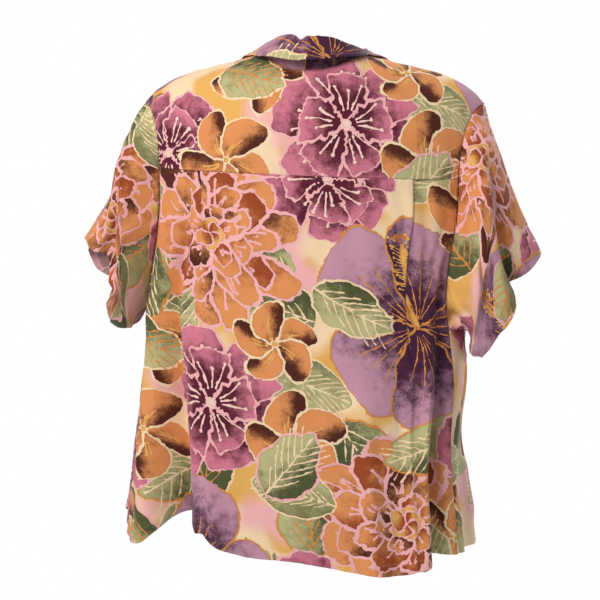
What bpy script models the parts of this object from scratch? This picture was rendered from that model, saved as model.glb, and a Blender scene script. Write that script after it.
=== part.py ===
"""A short-sleeved camp shirt, hollow, as it hangs from a pair of shoulders.

Metres, +Z up. The front faces -Y and the wearer's left is +X. The origin lies between the shoulders at
the height of the shoulder line, where the shoulders carry the shirt.

Each cut piece is one solid: a surface through sections of the shirt, given a wall by Solidify. A place on
the shirt's body is named by its sheet (back or front), by a, which runs from -1 at the right edge of that
sheet to +1 at its left edge, and by its level: 0 at the hem, 1 at the height of the back yoke's seam, 2 at
the shoulder line.
"""

from collections import namedtuple
from math import cos, pi, radians, sin

import bmesh
import bpy
import numpy as np
from mathutils import Vector

WALL = 0.0012  # the cloth's wall, measured inwards from its outer face
SEAM = 0.00027  # how far each piece stays from a seam that it shares
TUCK = 0.0016  # how far a sleeve starts outside the armhole, where the walls turn a corner

NECK_HALF = 0.070  # half the neck opening, along the shoulder line
NECK_BACK = 0.058  # how far behind the shoulder line the back neckline lies
NECK_BACK_Z = -0.012
NECK_SLOPE = 0.25  # how steeply the shoulder line climbs to the neck
V_LEVEL = 0.965  # the front opens above this level
V_POWER = 0.85
OVERLAP = 0.05  # how far each front passes the middle, in a
FRONT_COLUMNS = 13
COLUMN_POWER = 1.3  # draws columns together towards the side seams
NECK_COLUMNS = 20
UNDER = 0.0024  # how far the lower front lies under the upper one
YOKE_FRONT = 1.80  # the level of the yoke's front seam
SEAM_ROWS = ((0.0, 0.35, 5), (0.35, 0.62, 4), (0.62, 0.78, 4))  # rows beside a side seam: start, stop, steps
FRONT_TOP = (1.12, YOKE_FRONT, 5)  # the top rows of a front, and the step between them
VENT_LEVEL = 0.14  # the side seams are open below this level
VENT_GAP = 0.004

Edge = namedtuple("Edge", "x y turn")  # where a sheet ends, and the angle from its middle to there
Section = namedtuple("Section", "z right left depth square drop")
BACK = (  # depth is at the middle; drop is how far the right edge of a section hangs below the left one
    Section(-0.645, Edge(0.200, 0.056, 71), Edge(0.246, 0.040, 73), 0.128, 2.5, 0.036),
    Section(-0.570, Edge(0.195, 0.057, 71), Edge(0.241, 0.033, 75), 0.126, 2.5, 0.034),
    Section(-0.480, Edge(0.190, 0.060, 70), Edge(0.232, 0.025, 79), 0.122, 2.5, 0.028),
    Section(-0.400, Edge(0.193, 0.063, 68), Edge(0.2245, 0.018, 82), 0.119, 2.5, 0.021),
    Section(-0.335, Edge(0.186, 0.066, 64), Edge(0.221, 0.012, 84), 0.116, 2.4, 0.016),
    Section(-0.305, Edge(0.182, 0.066, 65), Edge(0.217, 0.024, 79), 0.114, 2.4, 0.014),
    Section(-0.255, Edge(0.184, 0.061, 67), Edge(0.205, 0.038, 74), 0.111, 2.3, 0.013),
    Section(-0.195, Edge(0.193, 0.053, 67), Edge(0.197, 0.047, 69), 0.106, 2.2, 0.012),
    Section(-0.145, Edge(0.195, 0.050, 66), Edge(0.196, 0.050, 66), 0.101, 2.1, 0.012),
)
UNDERARM_ROW = 4  # the section at the armhole's lowest point; below it the front shares the back's edges
FRONT_DEPTHS = (0.138, 0.137, 0.135, 0.133, 0.130)
FRONT_SQUARE = 2.4
FRONT = tuple(
    Section(s.z, *(Edge(e.x, -e.y, 180 - e.turn) for e in (s.right, s.left)), depth, FRONT_SQUARE, s.drop)
    for s, depth in zip(BACK, FRONT_DEPTHS)
) + (
    Section(-0.305, Edge(0.200, 0.005, 88), Edge(0.216, 0.022, 82), 0.127, 2.3, 0.014),
    Section(-0.255, Edge(0.188, 0.045, 74), Edge(0.198, 0.045, 74), 0.123, 2.2, 0.013),
    Section(-0.195, Edge(0.186, 0.054, 68), Edge(0.189, 0.054, 68), 0.114, 2.1, 0.012),
    Section(-0.145, Edge(0.183, 0.058, 64), Edge(0.184, 0.058, 64), 0.103, 2.0, 0.012),
)
Point = namedtuple("Point", "x z")
SHOULDER = (  # the shoulder line, from the neck to the sleeve seam
    Point(0.070, 0.010),
    Point(0.090, 0.003),
    Point(0.125, -0.007),
    Point(0.165, -0.017),
    Point(0.192, -0.028),
    Point(0.209, -0.040),
    Point(0.225, -0.056),
)

Lift = namedtuple("Lift", "a z")
HEM_BACK = (  # how the hem rises and falls between the side vents
    Lift(-1.00, 0.022),
    Lift(-0.82, 0.021),
    Lift(-0.64, 0.014),
    Lift(-0.50, 0.001),
    Lift(-0.30, -0.002),
    Lift(0.00, 0.003),
    Lift(0.18, 0.004),
    Lift(0.27, 0.012),
    Lift(0.36, 0.034),
    Lift(0.55, 0.034),
    Lift(0.64, 0.028),
    Lift(0.70, 0.010),
    Lift(0.76, -0.006),
    Lift(0.84, -0.010),
    Lift(1.00, -0.006),
)
HEM_FRONT = (
    Lift(-1.00, 0.022),
    Lift(-0.50, 0.006),
    Lift(0.00, 0.000),
    Lift(0.50, 0.004),
    Lift(1.00, 0.006),
)
HEM_LIFT_LEVEL = 0.35

Fold = namedtuple("Fold", "low high top rise width width_high fade")
FOLDS_BACK = (  # a fold stands out by rise at the hem, at a = low, and fades at a = high and level = top
    Fold(-0.60, -0.95, 0.85, 0.016, 0.14, 0.08, 0.40),
    Fold(-0.82, -1.00, 0.85, -0.040, 0.15, 0.08, 0.45),
    Fold(0.55, 0.74, 1.00, -0.066, 0.19, 0.10, 1.10),
    Fold(0.31, 0.55, 1.00, 0.012, 0.12, 0.08, 0.90),
    Fold(0.80, 0.86, 0.75, 0.010, 0.13, 0.10, 1.00),
    Fold(-0.30, -0.36, 0.80, 0.008, 0.16, 0.12, 1.00),
)
FOLDS_FRONT = (
    Fold(-0.62, -0.50, 0.80, 0.024, 0.17, 0.12, 1.10),
    Fold(-0.36, -0.38, 0.72, -0.018, 0.14, 0.10, 1.10),
    Fold(0.66, 0.52, 0.80, 0.026, 0.17, 0.12, 1.10),
    Fold(0.38, 0.40, 0.75, -0.020, 0.15, 0.10, 1.10),
    Fold(0.86, 0.80, 0.60, -0.014, 0.10, 0.08, 1.10),
    Fold(-0.84, -0.78, 0.60, -0.012, 0.10, 0.08, 1.10),
)
FOLD_POWER = 2.2  # folds and pleats come in towards the middle mostly in the shirt's upper part
SEAM_STIFF = 10  # the power of a that keeps folds away from the side seams

Pleat = namedtuple("Pleat", "top hem way")
PLEATS = (  # the a of each knife pleat's fold at the yoke and at the hem; way is the side that it opens to
    Pleat(-0.600, -0.560, -1),
    Pleat(0.576, 0.330, 1),
)
PLEAT_OPENS = 0.45  # the level where the pleats have opened out
PLEAT_SETTLE = 0.16  # how much of a the cloth beyond a pleat needs to come back to the section
Turn = namedtuple("Turn", "along deep along_open deep_open")
PLEAT = (  # one knife pleat in plan: outwards along the section, and inwards from it
    Turn(0.0000, 0.0000, 0.000, 0.0000),
    Turn(0.0014, 0.0009, 0.0015, 0.0004),
    Turn(0.0014, 0.0024, 0.0030, 0.0008),
    Turn(0.0000, 0.0032, 0.0045, 0.0012),
    Turn(-0.0120, 0.0034, 0.0060, 0.0012),
    Turn(-0.0126, 0.0038, 0.0075, 0.0008),
    Turn(-0.0120, 0.0042, 0.0090, 0.0004),
    Turn(0.0030, 0.0042, 0.0105, 0.0000),
)

Ring = namedtuple("Ring", "at x y z across along tilt lead back square")
SLEEVE_LEFT = (  # centre and half sizes; tilt leans a ring's top out, lead its front, back its underside
    Ring(0.26, 0.2390, 0.002, -0.2155, 0.1305, 0.070, 1, 0.000, 0.000, 2.2),
    Ring(0.66, 0.2580, 0.005, -0.2620, 0.0930, 0.074, 5, 0.015, 0.000, 2.2),
    Ring(1.00, 0.2920, 0.006, -0.2900, 0.0530, 0.078, 16, 0.045, 0.000, 2.1),
)
SLEEVE_RIGHT = (
    Ring(0.26, 0.2212, 0.020, -0.2160, 0.1325, 0.073, 5, 0.000, 0.050, 2.2),
    Ring(0.66, 0.2393, 0.022, -0.2804, 0.0985, 0.074, 16, -0.010, 0.040, 2.2),
    Ring(1.00, 0.2570, 0.020, -0.3130, 0.0720, 0.074, 29, -0.030, 0.030, 2.1),
)
Wave = namedtuple("Wave", "turn rise pull width start")
WAVES_LEFT = (  # turn degrees from the top, over the back, the cuff stands out by rise, drawn up by pull
    Wave(24, 0.006, 0.000, 26, 0.40),
    Wave(78, -0.022, 0.027, 32, 0.30),
    Wave(118, 0.004, 0.000, 24, 0.35),
    Wave(160, 0.012, 0.000, 34, 0.45),
    Wave(247, -0.014, 0.016, 32, 0.30),
    Wave(290, 0.008, 0.000, 30, 0.30),
)
WAVES_RIGHT = (
    Wave(14, 0.010, -0.002, 22, 0.40),
    Wave(58, -0.038, 0.019, 26, 0.30),
    Wave(96, -0.003, 0.000, 24, 0.25),
    Wave(122, -0.016, 0.000, 22, 0.20),
    Wave(160, 0.006, 0.000, 24, 0.45),
    Wave(250, -0.014, 0.004, 30, 0.30),
    Wave(316, -0.024, 0.000, 30, 0.30),
)

CollarRow = namedtuple("CollarRow", "at stand a level lift")
COLLAR = (  # from the middle of the back to the gorge; a, level and lift place the fall's outer edge
    CollarRow(0.00, 0.041, 0.000, 1.84, 0.0235),
    CollarRow(0.14, 0.038, 0.130, 1.83, 0.0165),
    CollarRow(0.27, 0.022, 0.250, 1.80, 0.0070),
    CollarRow(0.40, 0.008, 0.340, 1.86, 0.0035),
    CollarRow(0.53, 0.004, 0.395, 1.96, 0.0030),
    CollarRow(0.78, 0.004, 0.460, 2.26, 0.003),
    CollarRow(1.00, 0.004, 0.520, 2.50, 0.003),
)
COLLAR_SHOULDER = 0.53  # the share of the collar that has reached the shoulder line
Bend = namedtuple("Bend", "at out up")
COLLAR_BEND = (  # the collar in section: shares of the way to the fall's edge, and of the stand's height
    Bend(0.00, 0.00, 0.00),
    Bend(0.25, 0.02, 0.72),
    Bend(0.42, 0.10, 1.00),
    Bend(0.55, 0.24, 0.92),
    Bend(0.75, 0.58, 0.48),
    Bend(1.00, 1.00, 0.00),
)
COLLAR_CLEAR = 0.0006  # how far the collar starts above the neckline
GORGE_LEVEL = 1.48  # where the collar ends and the lapel begins
LAPEL_START = 1.10
LAPEL_A = 0.46  # the a of the lapel's point
LAPEL_NOTCH = 0.11  # how far the point lies below the gorge, in levels
LAPEL_LIFT = 0.0034
Roll = namedtuple("Roll", "along lift")
ROLL = (  # a lapel's turn round a front's edge: outwards from the edge along the front, and up from it
    Roll(-0.0008, -0.0010),
    Roll(-0.0026, 0.0006),
    Roll(-0.0021, 0.0024),
    Roll(0.0006, 0.0034),
)
ROLL_UNIT = 0.2  # about how many metres there are to one of a

BUTTON_RADIUS = 0.0057
BUTTON_THICK = 0.0026
BUTTON_BEVEL = 0.0007
BUTTON_SIDES = 20
BUTTON_LEVELS = (0.93, 0.745, 0.56, 0.375, 0.19)

PRINT = (0.80, 0.58, 0.56, 1.0)  # the print's mean colour
FINISHES = {"cloth": (PRINT, 0.85), "button": ((0.34, 0.21, 0.12, 1.0), 0.35)}


def smooth(x):
    """0 below 0, 1 above 1, and an even slope between."""
    x = np.clip(x, 0.0, 1.0)
    return x * x * (3 - 2 * x)


def through(knots, rows, at):
    """A smooth curve through rows of values, one row at each knot, read at the places in at."""
    knots, rows = np.asarray(knots, float), np.asarray(rows, float)
    at = np.clip(np.asarray(at, float), knots[0], knots[-1])
    slope = np.gradient(rows, knots, axis=0)
    i = np.clip(np.searchsorted(knots, at, side="right") - 1, 0, len(knots) - 2)
    step = knots[i + 1] - knots[i]
    s = (at - knots[i]) / step
    if rows.ndim > 1 and at.shape == rows.shape[1:]:
        place = (i, np.arange(rows.shape[1]))
        after = (i + 1, np.arange(rows.shape[1]))
    else:
        place, after = i, i + 1
        s, step = (v.reshape(v.shape + (1,) * (rows.ndim - 1)) for v in (s, step))
    return (
        (2 * s**3 - 3 * s**2 + 1) * rows[place]
        + (s**3 - 2 * s**2 + s) * slope[place] * step
        + (3 * s**2 - 2 * s**3) * rows[after]
        + (s**3 - s**2) * slope[after] * step
    )


def curl(angle, square):
    """|sine| and cosine of an angle, drawn towards a box as square rises above 2."""
    cosine = np.cos(angle)
    return np.abs(np.sin(angle)) ** (2 / square), np.sign(cosine) * np.abs(cosine) ** (2 / square)


def level_of(z):
    return (z - BACK[0].z) / (BACK[-1].z - BACK[0].z)


def section_points(section, a):
    """x, y and z of a section at a. Past a quarter turn it comes round the side."""
    ends = [np.where(a < 0, right, left) for right, left in zip(section.right, section.left)]
    turn = np.radians(ends[2])
    across, deep = curl(a * turn, section.square)
    across_end, deep_end = curl(turn, section.square)
    side = np.sign(a) * across / across_end
    y = ends[1] + (section.depth - ends[1]) * (deep - deep_end) / (1 - deep_end)
    return np.stack([ends[0] * side, y, section.z + section.drop / 2 * side])


def neck_a():
    """The a at which the shoulder line meets the neck."""
    return NECK_HALF / SHOULDER[-1].x


def top_points(side, a):
    """The shoulder line. Inside it the back follows its neckline, and the front carries the line on."""
    size = np.abs(a)
    x = size * SHOULDER[-1].x
    y = np.zeros_like(x)
    z = through([p.x for p in SHOULDER], [p.z for p in SHOULDER], x)
    inner = np.clip(size / neck_a(), 0, 1)
    if side == "back":
        x = np.where(inner < 1, NECK_HALF * np.sin(inner * pi / 2), x)
        y = np.where(inner < 1, NECK_BACK * np.cos(inner * pi / 2), y)
        climb = (SHOULDER[0].z - NECK_BACK_Z) * np.sin(inner * pi / 2) ** 2
        z = np.where(inner < 1, NECK_BACK_Z + climb, z)
    else:
        z = z + NECK_SLOPE * np.maximum(NECK_HALF - x, 0)
    return np.stack([np.sign(a) * x, y, z])


def plain(side, a, level):
    """Points of a sheet without its folds: 3 rows, and a column for each a and level."""
    table, hem = (BACK, HEM_BACK) if side == "back" else (FRONT, HEM_FRONT)
    knots = level_of(np.array([s.z for s in table]))
    rows = np.array([section_points(s, a) for s in table])
    k = UNDERARM_ROW
    low = [through(knots[: k + 1], rows[: k + 1, axis], level) for axis in range(3)]
    high = [through(knots[k:], rows[k:, axis], level) for axis in range(3)]
    points = np.where(level <= knots[k], low, high)
    lift = through([h.a for h in hem], [h.z for h in hem], a)
    points[2] += lift * smooth(1 - level / HEM_LIFT_LEVEL)
    turn = np.clip(level - 1, 0, 1) * pi / 2
    top = top_points(side, a)
    points[0] += (top[0] - points[0]) * (1 - np.cos(turn))
    points[1] = top[1] + (points[1] - top[1]) * np.cos(turn)
    points[2] += (top[2] - points[2]) * np.sin(turn)
    points[1] += np.abs(a) ** 12 * VENT_GAP / 2 * smooth((VENT_LEVEL - level) / VENT_LEVEL)
    if side == "front":
        points[1] *= -1
    return points


def directions(side, a, level):
    """Unit vectors level with the floor: along the section towards +a, and out of the shirt."""
    step = 1e-3
    ahead = plain(side, np.minimum(a + step, 1), level)
    behind = plain(side, np.maximum(a - step, -1), level)
    run = (ahead - behind)[:2]
    run /= np.linalg.norm(run, axis=0)
    flat = np.zeros_like(a)
    out = np.stack([-run[1], run[0], flat])
    return np.stack([run[0], run[1], flat]), out if side == "back" else -out


def rise(side, a, level):
    """How far the folds push the cloth outwards."""
    made = np.zeros_like(a)
    for fold in FOLDS_BACK if side == "back" else FOLDS_FRONT:
        share = np.clip(level / fold.top, 0, 1)
        middle = fold.low + (fold.high - fold.low) * share**FOLD_POWER
        width = fold.width + (fold.width_high - fold.width) * share
        made += fold.rise * (1 - share) ** fold.fade * np.exp(-2 * ((a - middle) / width) ** 2)
    return made * (1 - np.abs(a) ** SEAM_STIFF) ** 2


def sheet(side, a, level):
    """Points of the back or the front with its folds, in the shape of a and level, and a last axis of 3."""
    a, level = np.broadcast_arrays(np.asarray(a, float), np.asarray(level, float))
    shape, a, level = a.shape, a.ravel(), level.ravel()
    points = plain(side, a, level) + directions(side, a, level)[1] * rise(side, a, level)
    return points.T.reshape(shape + (3,))


def normals(side, a, level):
    """Unit vectors square to the sheet, out of the shirt."""
    step = 2e-3
    run = sheet(side, np.minimum(a + step, 1), level) - sheet(side, np.maximum(a - step, -1), level)
    up = sheet(side, a, np.minimum(level + step, 2)) - sheet(side, a, level - step)
    out = np.cross(up, run) if side == "back" else np.cross(run, up)
    return out / np.linalg.norm(out, axis=-1, keepdims=True)


def clear_scene():
    for obj in list(bpy.data.objects):
        bpy.data.objects.remove(obj)


def make_finishes():
    for name, (colour, rough) in FINISHES.items():
        finish = bpy.data.materials.new(name)
        finish.use_nodes = True
        shader = finish.node_tree.nodes["Principled BSDF"]
        shader.inputs["Base Color"].default_value = colour
        shader.inputs["Roughness"].default_value = rough


def place(name, mesh, finish):
    mesh.shade_smooth()
    mesh.materials.append(bpy.data.materials[finish])
    obj = bpy.data.objects.new(name, mesh)
    bpy.data.collections["camp_shirt"].objects.link(obj)
    return obj


def grid_faces(rows, columns, closed=False, start=0):
    """Quads between neighbouring rows of a grid."""
    faces = []
    for r in range(rows - 1):
        for c in range(columns if closed else columns - 1):
            low, high, right = start + r * columns, start + (r + 1) * columns, (c + 1) % columns
            faces.append((low + c, low + right, high + right, high + c))
    return faces


def draw_in(shape, distance):
    """Moves a surface's rim inwards along the surface."""
    moved = {}
    for vert in shape.verts:
        if not vert.is_boundary:
            continue
        inner = [e for e in vert.link_edges if not e.is_boundary]
        ways = [(e.other_vert(vert).co - vert.co).normalized() for e in inner or vert.link_edges]
        moved[vert] = vert.co + sum(ways, Vector()) / max(len(inner), 1) * distance
    for vert, co in moved.items():
        vert.co = co


def cloth(name, points, faces, flip=False):
    """A surface as a wall of cloth. Its faces' outer side is the cloth's outer side."""
    mesh = bpy.data.meshes.new(name)
    if flip:
        faces = [face[::-1] for face in faces]
    mesh.from_pydata(points.reshape(-1, 3).tolist(), [], faces)
    shape = bmesh.new()
    shape.from_mesh(mesh)
    draw_in(shape, SEAM)
    shape.to_mesh(mesh)
    shape.free()
    wall = place(name, mesh, "cloth").modifiers.new("wall", "SOLIDIFY")
    wall.thickness = WALL
    wall.offset = -1


def spans(*ends):
    """Values through spans of (start, stop, steps), joined."""
    made = [np.linspace(start, stop, steps + 1)[:-1] for start, stop, steps in ends]
    return np.append(np.concatenate(made), ends[-1][1])


def pleat_columns():
    """(stretch, share along it, a pleat's turn or -1) for each column of the back, right to left."""
    last = len(PLEAT) - 1
    columns = [(0, share**COLUMN_POWER, -1) for share in spans((0, 0.95, 8))]
    columns += [(0, 1.0, last - k) for k in range(last + 1)]
    columns += [(1, share, -1) for share in spans((0.03, 0.97, 12))]
    columns += [(2, 0.0, k) for k in range(last + 1)]
    columns += [(2, 1 - (1 - share) ** COLUMN_POWER, -1) for share in spans((0.05, 1, 8))]
    return columns


def make_back():
    columns = pleat_columns()
    level = np.tile(spans(*SEAM_ROWS, (0.78, 1.0, 4))[:, None], (1, len(columns)))
    right, left = (p.hem + (p.top - p.hem) * level[:, 0] ** FOLD_POWER for p in PLEATS)
    ends = np.array([-np.ones_like(right), right, left, np.ones_like(left)])
    stretch = np.array([c[0] for c in columns])
    share = np.array([c[1] for c in columns])
    a = (ends[stretch] + (ends[stretch + 1] - ends[stretch]) * share[:, None]).T
    points = sheet("back", a, level)
    run, out = (v.T.reshape(points.shape) for v in directions("back", a.ravel(), level.ravel()))
    opened = smooth((1 - level[:, 0]) / (1 - PLEAT_OPENS))
    for c, (_, _, turn) in enumerate(columns):
        for pleat, at in zip(PLEATS, (right, left)):
            beyond = (a[:, c] - at) * pleat.way
            if turn >= 0 and np.abs(beyond).max() < 1e-9:
                t, fade = PLEAT[turn], 1.0
            elif beyond.min() > 0:
                t, fade = PLEAT[-1], smooth(1 - beyond / PLEAT_SETTLE)
            else:
                continue
            along = (t.along + (t.along_open - t.along) * opened) * fade * pleat.way
            deep = (t.deep + (t.deep_open - t.deep) * opened) * fade
            points[:, c] += run[:, c] * along[:, None] - out[:, c] * deep[:, None]
    cloth("back", points, grid_faces(*points.shape[:2]), flip=True)


def front_columns(level, way):
    """The a of a front's columns, from the side to its inner edge, for levels down axis 0."""
    return (1 + (front_edge(level) - 1) * np.linspace(0, 1, FRONT_COLUMNS) ** COLUMN_POWER) * way


def make_yoke():
    """The back part from armhole to armhole, and a flap over each shoulder to the front seam."""
    side = front_columns(np.array([[2.0]]), 1)[0]
    columns = np.concatenate([-side, np.linspace(-neck_a(), neck_a(), NECK_COLUMNS + 1)[1:-1], side[::-1]])
    a, level = np.meshgrid(columns, spans((1.0, 1.5, 3), (1.5, 2.0, 4)))
    points = sheet("back", a, level)
    faces = grid_faces(*points.shape[:2])
    rim = (len(points) - 1) * len(columns)
    made = [points.reshape(-1, 3)]
    for first, way in ((0, -1), (len(columns) - len(side), 1)):
        level = np.linspace(2.0, YOKE_FRONT, 3)[1:, None]
        a = front_columns(level, way)[:, ::-way]
        start = sum(map(len, made))
        made.append(sheet("front", a, level).reshape(-1, 3))
        joined = [rim + first + c for c in range(len(side))] + list(range(start, start + len(side)))
        faces += [tuple(joined[k] for k in face) for face in grid_faces(2, len(side))]
        faces += grid_faces(2, len(side), start=start)
    cloth("yoke", np.concatenate(made), faces, flip=True)


def front_edge(level):
    """The a of the left front's inner edge, mirrored on the right front."""
    share = np.clip((level - V_LEVEL) / (2 - V_LEVEL), 0, 1)
    return neck_a() * share**V_POWER - OVERLAP * (1 - smooth(share * 8))


def make_front(name, way):
    """way is +1 for the left front, which buttons over the right one."""
    level = spans(*SEAM_ROWS, (0.78, 1.12, 6), FRONT_TOP)[:, None]
    a = front_columns(level, way)
    level = np.broadcast_to(level, a.shape)
    points = sheet("front", a, level)
    if way < 0:
        under = smooth((a + 0.16) / 0.08) * (1 - smooth((level - V_LEVEL - 0.08) / 0.15))
        points[..., 1] += UNDER * under
    cloth(name, points, grid_faces(*points.shape[:2]), flip=way > 0)


def armhole(way, count):
    """count points round the armhole, from the shoulder over the back to the underarm, and up the front."""
    level = np.linspace(2.0, level_of(BACK[UNDERARM_ROW].z), 60)
    halves = [sheet(side, np.full_like(level, way), level) for side in ("back", "front")]
    back, front = (spread_evenly(half, count // 2 + 1) for half in halves)
    return np.concatenate([back[:-1], front[:0:-1]])


def spread_evenly(points, count):
    """count points along a line, from its start to its end."""
    step = np.linalg.norm(np.diff(points, axis=0), axis=1)
    run = np.concatenate([[0], np.cumsum(step)])
    want = np.linspace(0, run[-1], count)
    return np.stack([np.interp(want, run, points[:, k]) for k in range(3)], axis=1)


def ring_points(ring, way, count):
    """A sleeve's ring: it starts at the top and goes down over the back."""
    turn = np.arange(count) / count * 2 * pi
    deep, up = curl(turn, ring.square)
    up *= ring.across
    lean = radians(ring.tilt)
    forward = ring.lead / 2 * -np.sin(turn)
    x = ring.x + up * sin(lean) + forward * cos(lean)
    y = ring.y + ring.along * np.sign(np.sin(turn)) * deep - ring.back / 2 * up / ring.across
    z = ring.z + up * cos(lean) - forward * sin(lean)
    return np.stack([way * x, y, z], axis=1)


def make_sleeve(name, way, rings, waves):
    count, steps = 32, 10
    first = armhole(way, count)
    loops = np.array([first] + [ring_points(ring, way, count) for ring in rings])
    at = np.linspace(0, 1, steps)
    points = through([0.0] + [ring.at for ring in rings], loops, at)
    out = points - points.mean(axis=1, keepdims=True)
    out /= np.linalg.norm(out, axis=-1, keepdims=True)
    down = points[-1] - points[-4]
    down /= np.linalg.norm(down, axis=-1, keepdims=True)
    turn = np.arange(count) / count * 360
    for wave in waves:
        away = (turn - wave.turn + 180) % 360 - 180
        grown = smooth((at - wave.start) / (1 - wave.start))
        grown = (grown[:, None] * np.exp(-2 * (away / wave.width) ** 2))[..., None]
        points += (out * wave.rise - down * wave.pull) * grown
    way_out = points[1] - first
    points[0] = first + way_out / np.linalg.norm(way_out, axis=1, keepdims=True) * TUCK
    cloth(name, points, grid_faces(steps, count, closed=True), flip=way > 0)


def over(a, level, lift):
    """Points a lift above the shirt, where levels above 2 run down the front."""
    made = np.empty(a.shape + (3,))
    for side, chosen in (("back", level <= 2), ("front", level > 2)):
        place = side, a[chosen], np.where(level <= 2, level, 4 - level)[chosen]
        made[chosen] = sheet(*place) + normals(*place) * lift[chosen][:, None]
    return made


def collar_columns():
    """u of the collar's columns, from the right gorge, -1, to the left one: two to a row of the fronts."""
    rows = spans(FRONT_TOP)
    level = np.append(rows[rows > GORGE_LEVEL][::-1], GORGE_LEVEL)
    level = np.concatenate([[2, (2 + YOKE_FRONT) / 2], level])
    level = np.interp(np.arange(0, len(level) - 0.9, 0.5), np.arange(len(level)), level)[1:]
    side = COLLAR_SHOULDER + (1 - COLLAR_SHOULDER) * (2 - level) / (2 - GORGE_LEVEL)
    return np.concatenate([-side[::-1], np.linspace(-1, 1, NECK_COLUMNS + 1) * COLLAR_SHOULDER, side])


def neckline(u):
    """a and level of the neckline at the places u along the collar."""
    share = np.clip((np.abs(u) - COLLAR_SHOULDER) / (1 - COLLAR_SHOULDER), 0, 1)
    level = 2 + (2 - GORGE_LEVEL) * share
    a = np.where(share > 0, front_edge(4 - level), neck_a() * np.abs(u) / COLLAR_SHOULDER)
    return np.sign(u) * a, level


def make_collar():
    u = collar_columns()
    bend = np.linspace(0, 1, 11)
    out = through([b.at for b in COLLAR_BEND], [b.out for b in COLLAR_BEND], bend)
    up = through([b.at for b in COLLAR_BEND], [b.up for b in COLLAR_BEND], bend)
    rows = through([r.at for r in COLLAR], [r[1:] for r in COLLAR], np.abs(u))
    stand, a_edge, level_edge, lift = rows.T[..., None]
    a, level = (v[:, None] for v in neckline(u))
    a = a + (a_edge * np.sign(u)[:, None] - a) * out
    level = level + (level_edge - level) * out
    lift = COLLAR_CLEAR + (lift - COLLAR_CLEAR) * out
    points = over(a, level, lift)
    points[..., 2] += stand * up
    cloth("collar", points, grid_faces(*points.shape[:2]), flip=True)


def make_lapel(name, way):
    """The top of a front, rolled out over its edge and laid on it."""
    share = np.linspace(0, 1, 12)[:, None]
    across = np.linspace(0, 1, 8)[None, :] ** 0.8
    level = LAPEL_START + (GORGE_LEVEL - 0.004 - LAPEL_START) * share
    level = level - LAPEL_NOTCH * smooth((across - 0.40) / 0.6) * share**2
    inner = front_edge(level)
    a = inner + (LAPEL_A - front_edge(GORGE_LEVEL)) * (0.06 + 0.94 * share) * across
    a = np.hstack([inner[:, :1] + np.array([[r.along for r in ROLL]]) / ROLL_UNIT, a[:, 1:]])
    level = np.hstack([np.repeat(level[:, :1], len(ROLL), axis=1), level[:, 1:]])
    lift = np.hstack([np.array([r.lift for r in ROLL]), np.full(across.size - 1, LAPEL_LIFT)])
    points = sheet("front", a * way, level) + normals("front", a * way, level) * lift[:, None]
    cloth(name, points, grid_faces(*points.shape[:2]), flip=way < 0)


def make_button(number, level):
    mesh = bpy.data.meshes.new(f"button_{number}")
    shape = bmesh.new()
    radii = {"radius1": BUTTON_RADIUS, "radius2": BUTTON_RADIUS}
    bmesh.ops.create_cone(shape, cap_ends=True, segments=BUTTON_SIDES, depth=BUTTON_THICK, **radii)
    shape.to_mesh(mesh)
    shape.free()
    a, level = np.zeros(1), np.array([level])
    normal = Vector(normals("front", a, level)[0])
    obj = place(f"button_{number}", mesh, "button")
    obj.rotation_euler = normal.to_track_quat("Z", "Y").to_euler()
    obj.location = Vector(sheet("front", a, level)[0]) + normal * (BUTTON_THICK / 2 + 2 * SEAM)
    bevel = obj.modifiers.new("rim", "BEVEL")
    bevel.width = BUTTON_BEVEL


def main():
    clear_scene()
    bpy.context.scene.collection.children.link(bpy.data.collections.new("camp_shirt"))
    make_finishes()
    make_back()
    make_yoke()
    make_front("front_left", 1)
    make_front("front_right", -1)
    make_sleeve("sleeve_left", 1, SLEEVE_LEFT, WAVES_LEFT)
    make_sleeve("sleeve_right", -1, SLEEVE_RIGHT, WAVES_RIGHT)
    make_collar()
    make_lapel("lapel_left", 1)
    make_lapel("lapel_right", -1)
    for number, level in enumerate(BUTTON_LEVELS, start=1):
        make_button(number, level)


main()
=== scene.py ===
"""The looks of a printed camp shirt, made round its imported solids: a thin shell of cloth for each cut piece, with its
folds, seams, stitching and print.

Metres, +Z up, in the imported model's frame. The front faces -Y, the wearer's left is +X, and the origin lies between
the shoulders. A place on the shirt's body is named by its sheet (back or front), by a, which runs from -1 at the
right edge of that sheet to +1 at its left edge, and by its level: 0 at the hem, 1 at the height of the back yoke's
seam, 2 at the shoulder line. A cut piece is a grid of points, with rows up the piece and columns across it.
"""

from collections import namedtuple
from math import cos, hypot, pi, radians, sin

import bmesh
import bpy
import numpy as np
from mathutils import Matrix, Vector


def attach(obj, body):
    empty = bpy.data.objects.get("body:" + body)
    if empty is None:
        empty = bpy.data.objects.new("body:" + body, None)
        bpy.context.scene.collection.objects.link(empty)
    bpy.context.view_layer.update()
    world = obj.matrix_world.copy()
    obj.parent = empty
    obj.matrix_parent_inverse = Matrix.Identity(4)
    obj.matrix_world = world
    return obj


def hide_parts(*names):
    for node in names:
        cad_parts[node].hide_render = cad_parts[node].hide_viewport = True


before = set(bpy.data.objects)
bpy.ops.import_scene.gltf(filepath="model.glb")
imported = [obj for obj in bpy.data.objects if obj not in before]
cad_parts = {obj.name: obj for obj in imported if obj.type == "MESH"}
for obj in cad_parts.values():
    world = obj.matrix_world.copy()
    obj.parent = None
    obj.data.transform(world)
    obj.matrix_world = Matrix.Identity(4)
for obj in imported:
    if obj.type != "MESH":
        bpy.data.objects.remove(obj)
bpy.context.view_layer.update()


def rows_of(kind, rows):
    """A table: its rows as tuples of one kind."""
    return tuple(kind(*row) for row in rows)


# ---- The shirt's form, from the same sizes as its solids ----

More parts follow.
